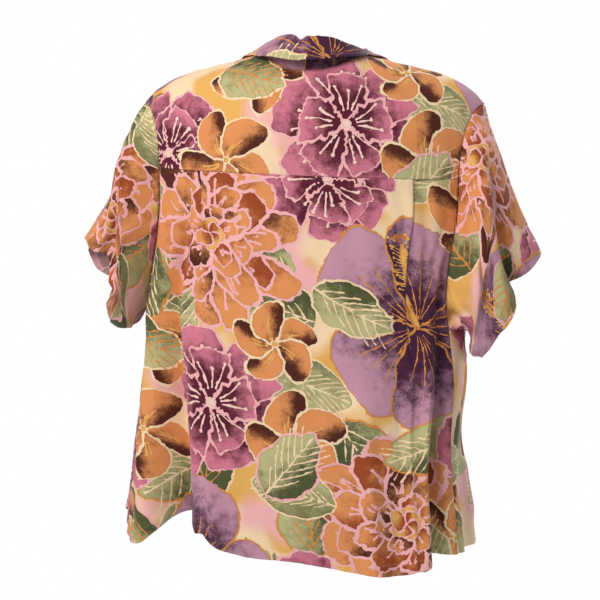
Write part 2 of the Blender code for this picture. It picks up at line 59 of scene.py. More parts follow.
NECK_HALF = 0.070  # half the neck opening, along the shoulder line
NECK_BACK = 0.058  # how far behind the shoulder line the back neckline lies
NECK_BACK_Z = -0.012
NECK_SLOPE = 0.25  # how steeply the shoulder line climbs to the neck
V_LEVEL = 0.965  # the front opens above this level
V_POWER = 0.85
OVERLAP = 0.05  # how far each front passes the middle, in a
COLUMN_POWER = 1.3  # draws columns together towards the side seams
UNDER = 0.0024  # how far the lower front lies under the upper one
YOKE_FRONT = 1.80  # the level of the yoke's front seam
VENT_LEVEL = 0.14  # the side seams are open below this level
VENT_START = 0.012  # over how much of a level the seam gives way to the vent
VENT_GAP = 0.004

Edge = namedtuple("Edge", "x y turn")  # where a sheet ends, and the angle from its middle to there
Section = namedtuple("Section", "z right left depth square drop")
BACK = (  # depth is at the middle; drop is how far the right edge of a section hangs below the left one
    Section(-0.645, Edge(0.200, 0.056, 71), Edge(0.246, 0.040, 73), 0.128, 2.5, 0.036),
    Section(-0.570, Edge(0.195, 0.057, 71), Edge(0.241, 0.033, 75), 0.126, 2.5, 0.034),
    Section(-0.480, Edge(0.190, 0.060, 70), Edge(0.232, 0.025, 79), 0.122, 2.5, 0.028),
    Section(-0.400, Edge(0.193, 0.063, 68), Edge(0.2245, 0.018, 82), 0.119, 2.5, 0.021),
    Section(-0.335, Edge(0.186, 0.066, 64), Edge(0.221, 0.012, 84), 0.116, 2.4, 0.016),
    Section(-0.305, Edge(0.182, 0.066, 65), Edge(0.217, 0.024, 79), 0.114, 2.4, 0.014),
    Section(-0.255, Edge(0.184, 0.061, 67), Edge(0.205, 0.038, 74), 0.111, 2.3, 0.013),
    Section(-0.195, Edge(0.193, 0.053, 67), Edge(0.197, 0.047, 69), 0.106, 2.2, 0.012),
    Section(-0.145, Edge(0.195, 0.050, 66), Edge(0.196, 0.050, 66), 0.101, 2.1, 0.012),
)
UNDERARM_ROW = 4  # the section at the armhole's lowest point; below it the front shares the back's edges
FRONT_DEPTHS = (0.138, 0.137, 0.135, 0.133, 0.130)
FRONT_SQUARE = 2.4
FRONT = tuple(
    Section(s.z, *(Edge(e.x, -e.y, 180 - e.turn) for e in (s.right, s.left)), depth, FRONT_SQUARE, s.drop)
    for s, depth in zip(BACK, FRONT_DEPTHS)
) + (
    Section(-0.305, Edge(0.200, 0.005, 88), Edge(0.216, 0.022, 82), 0.127, 2.3, 0.014),
    Section(-0.255, Edge(0.188, 0.045, 74), Edge(0.198, 0.045, 74), 0.123, 2.2, 0.013),
    Section(-0.195, Edge(0.186, 0.054, 68), Edge(0.189, 0.054, 68), 0.114, 2.1, 0.012),
    Section(-0.145, Edge(0.183, 0.058, 64), Edge(0.184, 0.058, 64), 0.103, 2.0, 0.012),
)
Point = namedtuple("Point", "x z")
# the shoulder line, from the neck to the sleeve seam
SHOULDER = rows_of(Point, (
    (0.070, 0.010), (0.090, 0.003), (0.125, -0.007), (0.165, -0.017),
    (0.192, -0.028), (0.209, -0.040), (0.225, -0.056),
))
NECK_A = NECK_HALF / SHOULDER[-1].x  # the a at which the shoulder line meets the neck

HEM_BACK = (  # (a, lift): how the hem rises and falls between the side vents
    (-1.00, 0.022), (-0.82, 0.021), (-0.64, 0.014), (-0.50, 0.001), (-0.30, -0.002), (0.00, 0.003), (0.18, 0.004),
    (0.27, 0.012), (0.36, 0.034), (0.55, 0.034), (0.64, 0.028), (0.70, 0.010), (0.76, -0.006), (0.84, -0.010),
    (1.00, -0.006),
)
HEM_FRONT = ((-1.00, 0.022), (-0.50, 0.006), (0.00, 0.000), (0.50, 0.004), (1.00, 0.006))
HEM_LIFT_LEVEL = 0.35  # above this level the hem's lift is gone

Fold = namedtuple("Fold", "low high top rise width width_high fade")
# a broad fold stands out by rise at the hem, at a = low, and fades out at a = high and level = top
FOLDS_BACK = rows_of(Fold, (
    (-0.60, -0.95, 0.85, 0.016, 0.14, 0.08, 0.40), (-0.82, -1.00, 0.85, -0.040, 0.15, 0.08, 0.45),
    (0.55, 0.74, 1.00, -0.066, 0.19, 0.10, 1.10), (0.31, 0.55, 1.00, 0.012, 0.12, 0.08, 0.90),
    (0.80, 0.86, 0.75, 0.010, 0.13, 0.10, 1.00), (-0.30, -0.36, 0.80, 0.008, 0.16, 0.12, 1.00),
))
FOLDS_FRONT = rows_of(Fold, (
    (-0.62, -0.50, 0.80, 0.024, 0.17, 0.12, 1.10), (-0.36, -0.38, 0.72, -0.018, 0.14, 0.10, 1.10),
    (0.66, 0.52, 0.80, 0.026, 0.17, 0.12, 1.10), (0.38, 0.40, 0.75, -0.020, 0.15, 0.10, 1.10),
    (0.86, 0.80, 0.60, -0.014, 0.10, 0.08, 1.10), (-0.84, -0.78, 0.60, -0.012, 0.10, 0.08, 1.10),
))
FOLD_POWER = 2.2  # folds and pleats come in towards the middle mostly in the shirt's upper part
SEAM_STIFF = 10  # the power of a that keeps folds away from the side seams

Pleat = namedtuple("Pleat", "top hem way")
PLEATS = (  # the a of each knife pleat's fold at the yoke and at the hem; way is the side that it opens to
    Pleat(-0.600, -0.560, -1),
    Pleat(0.576, 0.330, 1),
)
PLEAT_OPENS = 0.45  # the level where the pleats have opened out
PLEAT_SETTLE = 0.16  # how much of a the cloth beyond a pleat needs to come back to the section
Turn = namedtuple("Turn", "along deep along_open deep_open")
# one knife pleat in plan: outwards along the section, and inwards from it
PLEAT = rows_of(Turn, (
    (0.0000, 0.0000, 0.000, 0.0000), (0.0012, 0.0006, 0.0012, 0.0004),
    (0.0012, 0.0016, 0.0026, 0.0008), (0.0000, 0.0020, 0.0042, 0.0012),
    (-0.0120, 0.0022, 0.0060, 0.0012), (-0.0126, 0.0027, 0.0075, 0.0008),
    (-0.0120, 0.0032, 0.0090, 0.0004), (0.0030, 0.0030, 0.0105, 0.0000),
))

Ring = namedtuple("Ring", "at x y z across along tilt lead back square")
SLEEVE_LEFT = (  # a ring's centre and half sizes; tilt leans its top out, lead its front, back its underside
    Ring(0.26, 0.2390, 0.002, -0.2155, 0.1305, 0.070, 1, 0.000, 0.000, 2.2),
    Ring(0.66, 0.2580, 0.005, -0.2620, 0.0930, 0.074, 5, 0.015, 0.000, 2.2),
    Ring(1.00, 0.2920, 0.006, -0.2900, 0.0530, 0.078, 16, 0.045, 0.000, 2.1),
)
SLEEVE_RIGHT = (
    Ring(0.26, 0.2212, 0.020, -0.2160, 0.1325, 0.073, 5, 0.000, 0.050, 2.2),
    Ring(0.66, 0.2393, 0.022, -0.2804, 0.0985, 0.074, 16, -0.010, 0.040, 2.2),
    Ring(1.00, 0.2570, 0.020, -0.3130, 0.0720, 0.074, 29, -0.030, 0.030, 2.1),
)
Wave = namedtuple("Wave", "turn rise pull width start")
# at turn degrees from the top, over the back, the cuff stands out by rise and is drawn up by pull
WAVES_LEFT = rows_of(Wave, (
    (24, 0.006, 0.000, 26, 0.40), (78, -0.022, 0.027, 32, 0.30), (118, 0.004, 0.000, 24, 0.35),
    (160, 0.012, 0.000, 34, 0.45), (247, -0.014, 0.016, 32, 0.30), (290, 0.008, 0.000, 30, 0.30),
))
WAVES_RIGHT = rows_of(Wave, (
    (14, 0.010, -0.002, 22, 0.40), (58, -0.038, 0.019, 26, 0.30), (96, -0.003, 0.000, 24, 0.25),
    (122, -0.016, 0.000, 22, 0.20), (160, 0.006, 0.000, 24, 0.45), (250, -0.014, 0.004, 30, 0.30),
    (316, -0.024, 0.000, 30, 0.30),
))

CollarRow = namedtuple("CollarRow", "at stand a level lift")
# from the middle of the back to the gorge; a, level and lift place the fall's outer edge
COLLAR = rows_of(CollarRow, (
    (0.00, 0.041, 0.000, 1.84, 0.0235), (0.14, 0.038, 0.130, 1.83, 0.0165),
    (0.27, 0.022, 0.250, 1.80, 0.0070), (0.40, 0.008, 0.340, 1.86, 0.0035),
    (0.53, 0.004, 0.395, 1.96, 0.0030), (0.78, 0.004, 0.460, 2.26, 0.003),
    (1.00, 0.004, 0.520, 2.50, 0.003),
))
COLLAR_SHOULDER = 0.53  # the share of the collar that has reached the shoulder line
COLLAR_BEND = (  # the collar in section: (place, share of the way to the fall's edge, share of the stand's height)
    (0.00, 0.00, 0.00), (0.25, 0.02, 0.72), (0.42, 0.10, 1.00), (0.55, 0.24, 0.92), (0.75, 0.58, 0.48),
    (1.00, 1.00, 0.00),
)
COLLAR_CLEAR = 0.0006  # how far the collar starts above the neckline
GORGE_LEVEL = 1.48  # where the collar ends and the lapel begins
LAPEL_START = 1.10
LAPEL_A = 0.46  # the a of the lapel's point
LAPEL_NOTCH = 0.11  # how far the point lies below the gorge, in levels
LAPEL_NOTCH_START = 0.40  # from what share of the lapel's width its upper edge falls
LAPEL_FOOT = 0.06  # its width where it starts, as a share of its width at the point
LAPEL_LIFT = 0.0034
Roll = namedtuple("Roll", "along lift")
# a lapel's turn round a front's edge: outwards from the edge along the front, and up from it
ROLL = rows_of(Roll, (
    (-0.0008, -0.0010), (-0.0026, 0.0006), (-0.0021, 0.0024), (0.0006, 0.0034),
))
ROLL_UNIT = 0.2  # about how many metres there are to one of a


def smooth(x):
    """0 below 0, 1 above 1, and an even slope between."""
    x = np.clip(x, 0.0, 1.0)
    return x * x * (3 - 2 * x)


def unit(vectors):
    """Vectors brought to a length of 1."""
    return vectors / np.linalg.norm(vectors, axis=-1, keepdims=True)


def through(knots, rows, at):
    """A smooth curve through rows of values, one row at each knot, read at the places in at."""
    knots, rows = np.asarray(knots, float), np.asarray(rows, float)
    at = np.clip(np.asarray(at, float), knots[0], knots[-1])
    slope = np.gradient(rows, knots, axis=0)
    i = np.clip(np.searchsorted(knots, at, side="right") - 1, 0, len(knots) - 2)
    step = knots[i + 1] - knots[i]
    s = (at - knots[i]) / step
    if rows.ndim > 1 and at.shape == rows.shape[1:]:
        place = (i, np.arange(rows.shape[1]))
        after = (i + 1, np.arange(rows.shape[1]))
    else:
        place, after = i, i + 1
        s, step = (v.reshape(v.shape + (1,) * (rows.ndim - 1)) for v in (s, step))
    return (
        (2 * s**3 - 3 * s**2 + 1) * rows[place]
        + (s**3 - 2 * s**2 + s) * slope[place] * step
        + (3 * s**2 - 2 * s**3) * rows[after]
        + (s**3 - s**2) * slope[after] * step
    )


def curl(angle, square):
    """|sine| and cosine of an angle, drawn towards a box as square rises above 2."""
    cosine = np.cos(angle)
    return np.abs(np.sin(angle)) ** (2 / square), np.sign(cosine) * np.abs(cosine) ** (2 / square)


def level_of(z):
    return (z - BACK[0].z) / (BACK[-1].z - BACK[0].z)


def section_points(section, a):
    """x, y and z of a section at a. Past a quarter turn it comes round the side."""
    ends = [np.where(a < 0, right, left) for right, left in zip(section.right, section.left)]
    turn = np.radians(ends[2])
    across, deep = curl(a * turn, section.square)
    across_end, deep_end = curl(turn, section.square)
    side = np.sign(a) * across / across_end
    y = ends[1] + (section.depth - ends[1]) * (deep - deep_end) / (1 - deep_end)
    return np.stack([ends[0] * side, y, section.z + section.drop / 2 * side])


def top_points(side, a):
    """The shoulder line. Between its ends the back follows its neckline, and the front carries the line on."""
    size = np.abs(a)
    x = size * SHOULDER[-1].x
    y = np.zeros_like(x)
    z = through(*zip(*SHOULDER), x)
    inner = np.clip(size / NECK_A, 0, 1)
    if side == "back":
        x = np.where(inner < 1, NECK_HALF * np.sin(inner * pi / 2), x)
        y = np.where(inner < 1, NECK_BACK * np.cos(inner * pi / 2), y)
        z = np.where(inner < 1, NECK_BACK_Z + (SHOULDER[0].z - NECK_BACK_Z) * np.sin(inner * pi / 2) ** 2, z)
    else:
        z = z + NECK_SLOPE * np.maximum(NECK_HALF - x, 0)
    return np.stack([np.sign(a) * x, y, z])


def plain(side, a, level):
    """Points of a sheet without its folds: 3 rows, a column for each a and level. The front's y is mirrored last."""
    table, hem = (BACK, HEM_BACK) if side == "back" else (FRONT, HEM_FRONT)
    knots = level_of(np.array([s.z for s in table]))
    rows = np.array([section_points(s, a) for s in table])
    k = UNDERARM_ROW
    low = [through(knots[: k + 1], rows[: k + 1, axis], level) for axis in range(3)]
    high = [through(knots[k:], rows[k:, axis], level) for axis in range(3)]
    points = np.where(level <= knots[k], low, high)
    lift = through(*zip(*hem), a)
    points[2] += lift * smooth(1 - level / HEM_LIFT_LEVEL)
    turn = np.clip(level - 1, 0, 1) * pi / 2
    top = top_points(side, a)
    points[0] += (top[0] - points[0]) * (1 - np.cos(turn))
    points[1] = top[1] + (points[1] - top[1]) * np.cos(turn)
    points[2] += (top[2] - points[2]) * np.sin(turn)
    points[1] += np.abs(a) ** 12 * VENT_GAP / 2 * smooth((VENT_LEVEL - level) / VENT_LEVEL)
    if side == "front":
        points[1] *= -1
    return points


def directions(side, a, level):
    """Unit vectors level with the floor: along the section towards +a, and out of the shirt."""
    step = 1e-3
    ahead = plain(side, np.minimum(a + step, 1), level)
    behind = plain(side, np.maximum(a - step, -1), level)
    run = (ahead - behind)[:2]
    run /= np.linalg.norm(run, axis=0)
    flat = np.zeros_like(a)
    out = np.stack([-run[1], run[0], flat])
    return np.stack([run[0], run[1], flat]), out if side == "back" else -out


def rise(side, a, level):
    """How far the folds push the cloth outwards."""
    made = np.zeros_like(a)
    for fold in FOLDS_BACK if side == "back" else FOLDS_FRONT:
        share = np.clip(level / fold.top, 0, 1)
        middle = fold.low + (fold.high - fold.low) * share**FOLD_POWER
        width = fold.width + (fold.width_high - fold.width) * share
        made += fold.rise * (1 - share) ** fold.fade * np.exp(-2 * ((a - middle) / width) ** 2)
    return made * (1 - np.abs(a) ** SEAM_STIFF) ** 2


def sheet(side, a, level):
    """Points of the back or the front with its folds, in the shape of a and level, and a last axis of 3."""
    a, level = np.broadcast_arrays(np.asarray(a, float), np.asarray(level, float))
    shape, a, level = a.shape, a.ravel(), level.ravel()
    points = plain(side, a, level) + directions(side, a, level)[1] * rise(side, a, level)
    return points.T.reshape(shape + (3,))


def normals(side, a, level):
    """Unit vectors square to the sheet, out of the shirt."""
    step = 2e-3
    run = sheet(side, np.minimum(a + step, 1), level) - sheet(side, np.maximum(a - step, -1), level)
    up = sheet(side, a, np.minimum(level + step, 2)) - sheet(side, a, level - step)
    return unit(np.cross(up, run) if side == "back" else np.cross(run, up))


def spans(*ends):
    """Values through spans of (start, stop, steps), joined."""
    made = [np.linspace(start, stop, steps + 1)[:-1] for start, stop, steps in ends]
    return np.append(np.concatenate(made), ends[-1][1])


def front_edge(level):
    """The a of the left front's inner edge, mirrored on the right front."""
    share = np.clip((level - V_LEVEL) / (2 - V_LEVEL), 0, 1)
    return NECK_A * share**V_POWER - OVERLAP * (1 - smooth(share * 8))


def armhole(way, count):
    """count points round the armhole, from the shoulder over the back to the underarm, and up the front."""
    level = np.linspace(2.0, level_of(BACK[UNDERARM_ROW].z), 60)
    halves = [sheet(side, np.full_like(level, way), level) for side in ("back", "front")]
    back, front = (spread_evenly(half, count // 2 + 1) for half in halves)
    return np.concatenate([back[:-1], front[:0:-1]])


def run_lengths(points, axis):
    """Lengths along the lines of a grid, from the start of that axis."""
    step = np.linalg.norm(np.diff(points, axis=axis), axis=-1)
    start = np.zeros_like(np.take(step, [0], axis=axis))
    return np.concatenate([start, np.cumsum(step, axis=axis)], axis=axis)


def read_line(rows, run, at):
    """Rows of values, each at its length run along a line, read at the lengths at."""
    return np.stack([np.interp(at, run, column) for column in rows.T], axis=-1)


def spread_evenly(points, count):
    """count points along a line, from its start to its end."""
    run = run_lengths(points, 0)
    return read_line(points, run, np.linspace(0, run[-1], count))


def ring_points(ring, way, count):
    """A sleeve's ring: it starts at the top and goes down over the back."""
    turn = np.arange(count) / count * 2 * pi
    deep, up = curl(turn, ring.square)
    up *= ring.across
    lean = radians(ring.tilt)
    forward = ring.lead / 2 * -np.sin(turn)
    x = ring.x + up * sin(lean) + forward * cos(lean)
    y = ring.y + ring.along * np.sign(np.sin(turn)) * deep - ring.back / 2 * up / ring.across
    z = ring.z + up * cos(lean) - forward * sin(lean)
    return np.stack([way * x, y, z], axis=1)


def over(a, level, lift):
    """Points a lift above the shirt, where levels above 2 run down the front."""
    made = np.empty(a.shape + (3,))
    for side, chosen in (("back", level <= 2), ("front", level > 2)):
        place = side, a[chosen], np.where(level <= 2, level, 4 - level)[chosen]
        made[chosen] = sheet(*place) + normals(*place) * lift[chosen][:, None]
    return made


def neckline(u):
    """a and level of the neckline at the places u along the collar."""
    share = np.clip((np.abs(u) - COLLAR_SHOULDER) / (1 - COLLAR_SHOULDER), 0, 1)
    level = 2 + (2 - GORGE_LEVEL) * share
    a = np.where(share > 0, front_edge(4 - level), NECK_A * np.abs(u) / COLLAR_SHOULDER)
    return np.sign(u) * a, level


# ---- Cloth: grids of points, their edges and their folds ----

CLOTH = 0.00045  # the cloth's thickness
FACED = {"thickness": 0.0009, "inside": "cloth_print"}  # a piece of two layers and an interlining
EDGE_STITCH = 0.005  # how far an edge's stitching lies from it
COLLAR_TUCK = 0.0035  # how far the collar's seam allowance reaches down inside the neck
COLLAR_TUCK_IN = 0.985  # its distance from the shirt's middle, as a share of the neckline's
SLEEVE_TUCK = 0.0040  # how far a sleeve's reaches in at the armhole
YOKE_TUCK = 0.0030  # how far that of the back and the fronts reaches under the yoke
YOKE_TUCK_DEPTH = 0.0009
YOKE_RAISE = 0.0003  # how far the yoke lies above the pieces that it covers
YOKE_EDGE = (0.0006, 0.0012)  # how far its folded edge turns in, and over what width
SEAM_DIP = (0.0006, 0.0028)  # how far a seamed edge turns in, and over what width
OPEN_DIP = (0.0004, 0.0012)  # the same for a front's open edge
FACED_DIP = (0.0003, 0.0012)  # for the edge of a piece of two layers
ARMHOLE_DIP = (0.0011, 0.004)
HEM_RAISE = 0.00035  # how far a hem's turned-up layers stand out
HEM_STEP = 0.0016  # the width of the step down from them
STITCH_GROOVE = (0.0003, 0.0009)  # how deep its stitching lies, and in how wide a groove
STITCH_IN = 0.001  # how far inside the layers' edge

DRIFT_LENGTHS = (0.095, 0.060, 0.038, 0.024)

# a ridge, or a trough if height is below 0, from one place on a piece to another; height, width and bow in metres
Crease = namedtuple("Crease", "across up across_end up_end height width bow")


def from_edges(points):
    """How far each point of a grid is from its low, high, first and last edge."""
    up, across = run_lengths(points, 0), run_lengths(points, 1)
    return up, up[-1:] - up, across, across[:, -1:] - across


def from_edge(points, edge):
    return from_edges(points)[("low", "high", "first", "last").index(edge)]


def grid_normals(points, flip):
    out = unit(np.cross(np.gradient(points, axis=1), np.gradient(points, axis=0)))
    return -out if flip else out


def with_normals(points, flip):
    """Rows of 6: a grid's points, and the cloth's outward directions there."""
    return np.concatenate([points, grid_normals(points, flip)], axis=-1)


def add_height(points, flip, height):
    return points + grid_normals(points, flip) * height[..., None]


def flat_places(points, column, row):
    """Where each point lies on the uncut cloth: lengths along rows from a column, and along columns from a row.

    column holds, for each row, the place among its points where the straight grain runs.
    """
    along = run_lengths(points, 1)
    rows, columns = along.shape
    middle = np.array([np.interp(column[r], np.arange(columns), along[r]) for r in range(rows)])
    up = run_lengths(points, 0)
    up = up - up[row]
    smoothed = np.array([np.convolve(np.pad(line, 7, mode="edge"), np.full(15, 1 / 15), "valid") for line in up])
    return np.stack([along - middle[:, None], smoothed], axis=-1)


def centred_places(points, row=0):
    """Places on the flat cloth, with the straight grain at the middle column."""
    return flat_places(points, np.full(len(points), (points.shape[1] - 1) / 2), row)


def creases_height(creases, across, up, units):
    """What soft ridges and troughs along lines add. Each tapers to its ends, and bows to one side by bow."""
    made = np.zeros(np.broadcast(across, up).shape)
    for crease in creases:
        start = np.array([crease.across, crease.up]) * units
        way = np.array([crease.across_end, crease.up_end]) * units - start
        length = hypot(*way)
        way /= length
        right, high = across * units[0] - start[0], up * units[1] - start[1]
        share = np.clip((right * way[0] + high * way[1]) / length, 0, 1)
        off = right * way[1] - high * way[0] - crease.bow * np.sin(share * pi)
        made += crease.height * np.exp(-2 * (off / crease.width) ** 2) * np.sin(share * pi) ** 0.7
    return made


def drift(flat, seed, size):
    """Small uneven waves, mostly ones that run up and down the cloth."""
    rng = np.random.default_rng(seed)
    made = np.zeros(flat.shape[:-1])
    for length in DRIFT_LENGTHS:
        for _ in range(3):
            angle, k = rng.normal(0, 0.5), 2 * pi / (length * rng.uniform(0.8, 1.25))
            wave = k * (flat[..., 0] * cos(angle) + flat[..., 1] * sin(angle)) + rng.uniform(0, 2 * pi)
            made += length * rng.uniform(0.5, 1.0) * np.sin(wave)
    return made * size


def pucker(points, edge, seed, size=0.00035, reach=0.006, pitch=0.0095):
    """Short ripples where the sewing draws an edge up."""
    rng = np.random.default_rng(seed)
    away = from_edge(points, edge)
    along = run_lengths(points, 1 if edge in ("low", "high") else 0)
    wave = np.zeros_like(along)
    for share in (0.62, 1.0, 1.7):
        wave += np.sin(2 * pi * along / (pitch * share) + rng.uniform(0, 2 * pi)) / 2
    return size * wave * np.exp(-away / reach)


def dip(away, depth=SEAM_DIP[0], width=SEAM_DIP[1]):
    """How an edge turns in where it is seamed."""
    return -depth * (1 - smooth(away / width))


def hem_form(away, band):
    """A turned-up hem: raised below its stitching, which lies in a small groove."""
    deep, wide = STITCH_GROOVE
    groove = deep * np.exp(-(((away - band + STITCH_IN) / wide) ** 2))
    return HEM_RAISE * (1 - smooth((away - band) / HEM_STEP)) - groove


def side_form(side, level):
    """A side seam's dip, or the vent's hem below it, and how much of a vent there is at each level."""
    vent = smooth((VENT_LEVEL - level) / VENT_START)
    return dip(side) * (1 - vent) + vent * hem_form(side, VENT_BAND), vent


def fine_spans(start, stop, steps, end_length, end_steps):
    """Values from start to stop, closer together near both ends."""
    way = 1 if stop > start else -1
    return spans(
        (start, start + way * end_length, end_steps),
        (start + way * end_length, stop - way * end_length, steps),
        (stop - way * end_length, stop, end_steps),
    )


def tuck_under(points, flat, flip):
    """Carries a grid, and its places on the flat cloth, on under the yoke that covers its last row."""
    way, out = unit(points[-1] - points[-2]), grid_normals(points, flip)[-1]
    shares = (0.3, 1.0)
    more = [points[-1] + way * YOKE_TUCK * s - out * YOKE_TUCK_DEPTH * s**0.5 for s in shares]
    further = [flat[-1] + [0, YOKE_TUCK * s] for s in shares]
    return np.concatenate([points, more]), np.concatenate([flat, further])


# ---- The cut pieces ----

PLEAT_FINE = 22  # columns round one pleat
BACK_CREASES = rows_of(Crease, (
    (0.68, 1.00, 0.66, 0.10, -0.0050, 0.020, 0.004), (0.56, 0.96, 0.52, 0.40, 0.0026, 0.011, 0.002),
    (0.83, 0.80, 0.80, 0.05, 0.0036, 0.016, -0.003), (0.74, 0.66, 0.72, -0.05, 0.0030, 0.011, 0.003),
    (0.61, 0.46, 0.60, -0.06, -0.0030, 0.012, 0.002), (0.50, 0.40, 0.48, -0.06, 0.0024, 0.013, 0.002),
    (0.93, 0.62, 0.88, 0.10, -0.0026, 0.012, 0.002), (0.24, 0.55, 0.22, 0.02, 0.0014, 0.014, 0.003),
    (0.05, 0.98, 0.07, 0.66, -0.0010, 0.014, 0.003), (-0.05, 0.60, -0.03, 0.04, -0.0013, 0.017, -0.002),
    (-0.30, 0.46, -0.32, 0.00, 0.0017, 0.015, 0.002), (-0.55, 0.98, -0.50, 0.25, -0.0026, 0.013, -0.003),
    (-0.68, 0.92, -0.64, 0.30, 0.0026, 0.013, 0.004), (-0.82, 0.86, -0.76, 0.30, -0.0036, 0.012, 0.003),
    (-0.46, 0.30, -0.47, -0.08, -0.0022, 0.013, 0.001), (0.36, 0.12, 0.20, 0.36, 0.0012, 0.010, 0.002),
    (-1.02, 0.690, -0.80, 0.690, -0.0030, 0.006, 0.001), (-1.02, 0.672, -0.79, 0.668, 0.0030, 0.005, 0.001),
    (-1.02, 0.653, -0.78, 0.645, -0.0032, 0.006, 0.001), (-1.02, 0.634, -0.80, 0.618, 0.0028, 0.005, 0.001),
    (-1.02, 0.612, -0.82, 0.580, -0.0026, 0.006, 0.002), (1.01, 0.72, 0.88, 0.56, 0.0020, 0.008, 0.003),
    (1.01, 0.64, 0.90, 0.46, -0.0020, 0.008, 0.002),
))
FRONT_CREASES = rows_of(Crease, (
    (0.80, 0.78, 0.66, 0.10, -0.0042, 0.015, 0.004), (0.55, 0.66, 0.50, 0.02, 0.0034, 0.015, -0.003),
    (0.66, 0.50, 0.60, -0.06, -0.0028, 0.011, 0.002), (0.36, 0.52, 0.34, 0.00, -0.0024, 0.013, 0.003),
    (0.92, 0.70, 0.56, 0.90, 0.0030, 0.012, 0.005), (0.88, 0.62, 0.50, 0.70, -0.0026, 0.011, 0.004),
    (0.96, 0.54, 0.66, 0.52, 0.0020, 0.010, 0.004), (0.20, 0.90, 0.46, 1.24, 0.0018, 0.014, 0.003),
    (0.12, 0.74, 0.34, 0.98, -0.0014, 0.013, 0.002), (0.16, 0.50, 0.14, 0.05, 0.0013, 0.012, 0.002),
    (0.84, 1.50, 0.66, 1.05, 0.0022, 0.013, -0.003), (0.74, 1.42, 0.56, 0.98, -0.0018, 0.012, -0.003),
    (0.74, 0.30, 0.72, -0.06, 0.0026, 0.012, 0.002),
))
YOKE_CREASES = rows_of(Crease, (
    (0.80, 1.02, 0.60, 1.55, 0.0011, 0.014, 0.003), (-0.82, 1.02, -0.62, 1.50, -0.0011, 0.013, -0.003),
    (0.30, 1.60, 0.75, 1.42, -0.0008, 0.012, 0.002), (-0.30, 1.62, -0.78, 1.40, 0.0009, 0.012, -0.002),
    (0.10, 1.10, 0.16, 1.60, 0.0006, 0.016, 0.002),
))
BODY_UNITS = (0.27, 0.50)  # about how many metres there are to one of a, and of level
SLEEVE_UNITS = (0.46 / 360, 0.20)
# across is the turn from the sleeve's top over the back, up is the way down the sleeve
LEFT_CREASES = rows_of(Crease, (
    (106, 1.04, 130, 0.24, -0.0046, 0.008, 0.000), (62, 0.15, 92, 1.05, -0.0062, 0.012, 0.004),
    (84, 0.30, 112, 1.10, 0.0052, 0.012, 0.003), (40, 0.25, 56, 1.05, 0.0040, 0.012, 0.002),
    (130, 0.20, 140, 1.05, -0.0036, 0.012, 0.003), (12, 0.10, 16, 1.00, -0.0012, 0.014, 0.002),
    (-40, 0.20, -60, 1.05, 0.0020, 0.013, -0.003), (-90, 0.15, -112, 1.05, -0.0026, 0.012, -0.003),
    (-140, 0.25, -132, 1.00, 0.0020, 0.012, 0.002),
))
RIGHT_CREASES = rows_of(Crease, (
    (36, 0.10, 62, 1.05, -0.0058, 0.012, 0.003), (60, 0.16, 88, 0.95, 0.0048, 0.010, 0.002),
    (84, 0.10, 116, 1.02, -0.0046, 0.010, 0.003), (108, 0.30, 104, 1.08, 0.0042, 0.010, -0.002),
    (140, 0.15, 128, 1.00, -0.0024, 0.012, 0.002), (146, -0.05, 150, 0.50, 0.0040, 0.007, 0.002),
    (-166, -0.02, -168, 0.60, 0.0030, 0.008, 0.001), (8, 0.15, 12, 1.05, 0.0014, 0.014, 0.002),
    (-34, 0.15, -50, 1.02, -0.0020, 0.013, -0.003), (-78, 0.20, -96, 1.05, 0.0024, 0.012, -0.002),
    (-126, 0.15, -120, 1.00, -0.0020, 0.012, 0.003),
))
# pulled in right from the armhole seam
UNDERARM_RECESS = rows_of(Crease, (
    (169, -0.03, 166, 0.15, -0.0130, 0.009, 0.000), (154, 0.00, 156, 0.24, 0.0034, 0.007, 0.000),
))
Notch = namedtuple("Notch", "z width deep start")
CUFF_NOTCHES = (Notch(-0.300, 0.0095, 0.0095, 0.60),)  # where the left cuff's edge is drawn in
BACK_CLEAR = (0.03, 0.010)  # how far folds stay clear of the yoke's seam and the side seams
FRONT_CLEAR = (0.03, 0.02, 0.025)  # of the yoke's seam, the side seam and the open edge
YOKE_CLEAR = 0.02
ARMHOLE_CLEAR = (0.002, 0.016)  # where a sleeve's folds begin from its armhole, and how far on they are whole
SLEEVE_CLEAR = 0.012
FACED_CLEAR = 0.01
UNDER_A = (-0.16, 0.08)  # the a where the lower front starts to go under, and how much of a that takes
UNDER_LEVEL = (0.08, 0.15)  # the same for the levels above the front's opening, where it comes out again
GRAIN_A = 0.45  # the a of a front's straight grain
SLEEVE_COLUMNS = 184
HEM_BAND = 0.016  # how far a hem is turned up
SLEEVE_BAND = 0.026
VENT_BAND = 0.010
HEM_PUCKER = (0.0005, 0.014, 0.016)  # size, reach and pitch
ARMHOLE_PUCKER = (0.0005, 0.010, 0.012)
CUFF_PUCKER = (0.0005, 0.012, 0.015)


def back_columns():
    """(stretch, share along it, a pleat's turn or -1) for each column of the back, right to left."""
    outer = fine_spans(0, 1, 46, 0.012, 4)
    columns = [(0, share**COLUMN_POWER, -1) for share in outer[:-1]]
    columns += [(0, 1.0, turn) for turn in np.linspace(len(PLEAT) - 1, 0, PLEAT_FINE)]
    columns += [(1, share, -1) for share in spans((0.008, 0.992, 104))]
    columns += [(2, 0.0, turn) for turn in np.linspace(0, len(PLEAT) - 1, PLEAT_FINE)]
    columns += [(2, 1 - (1 - share) ** COLUMN_POWER, -1) for share in outer[1:]]
    return np.array(columns)


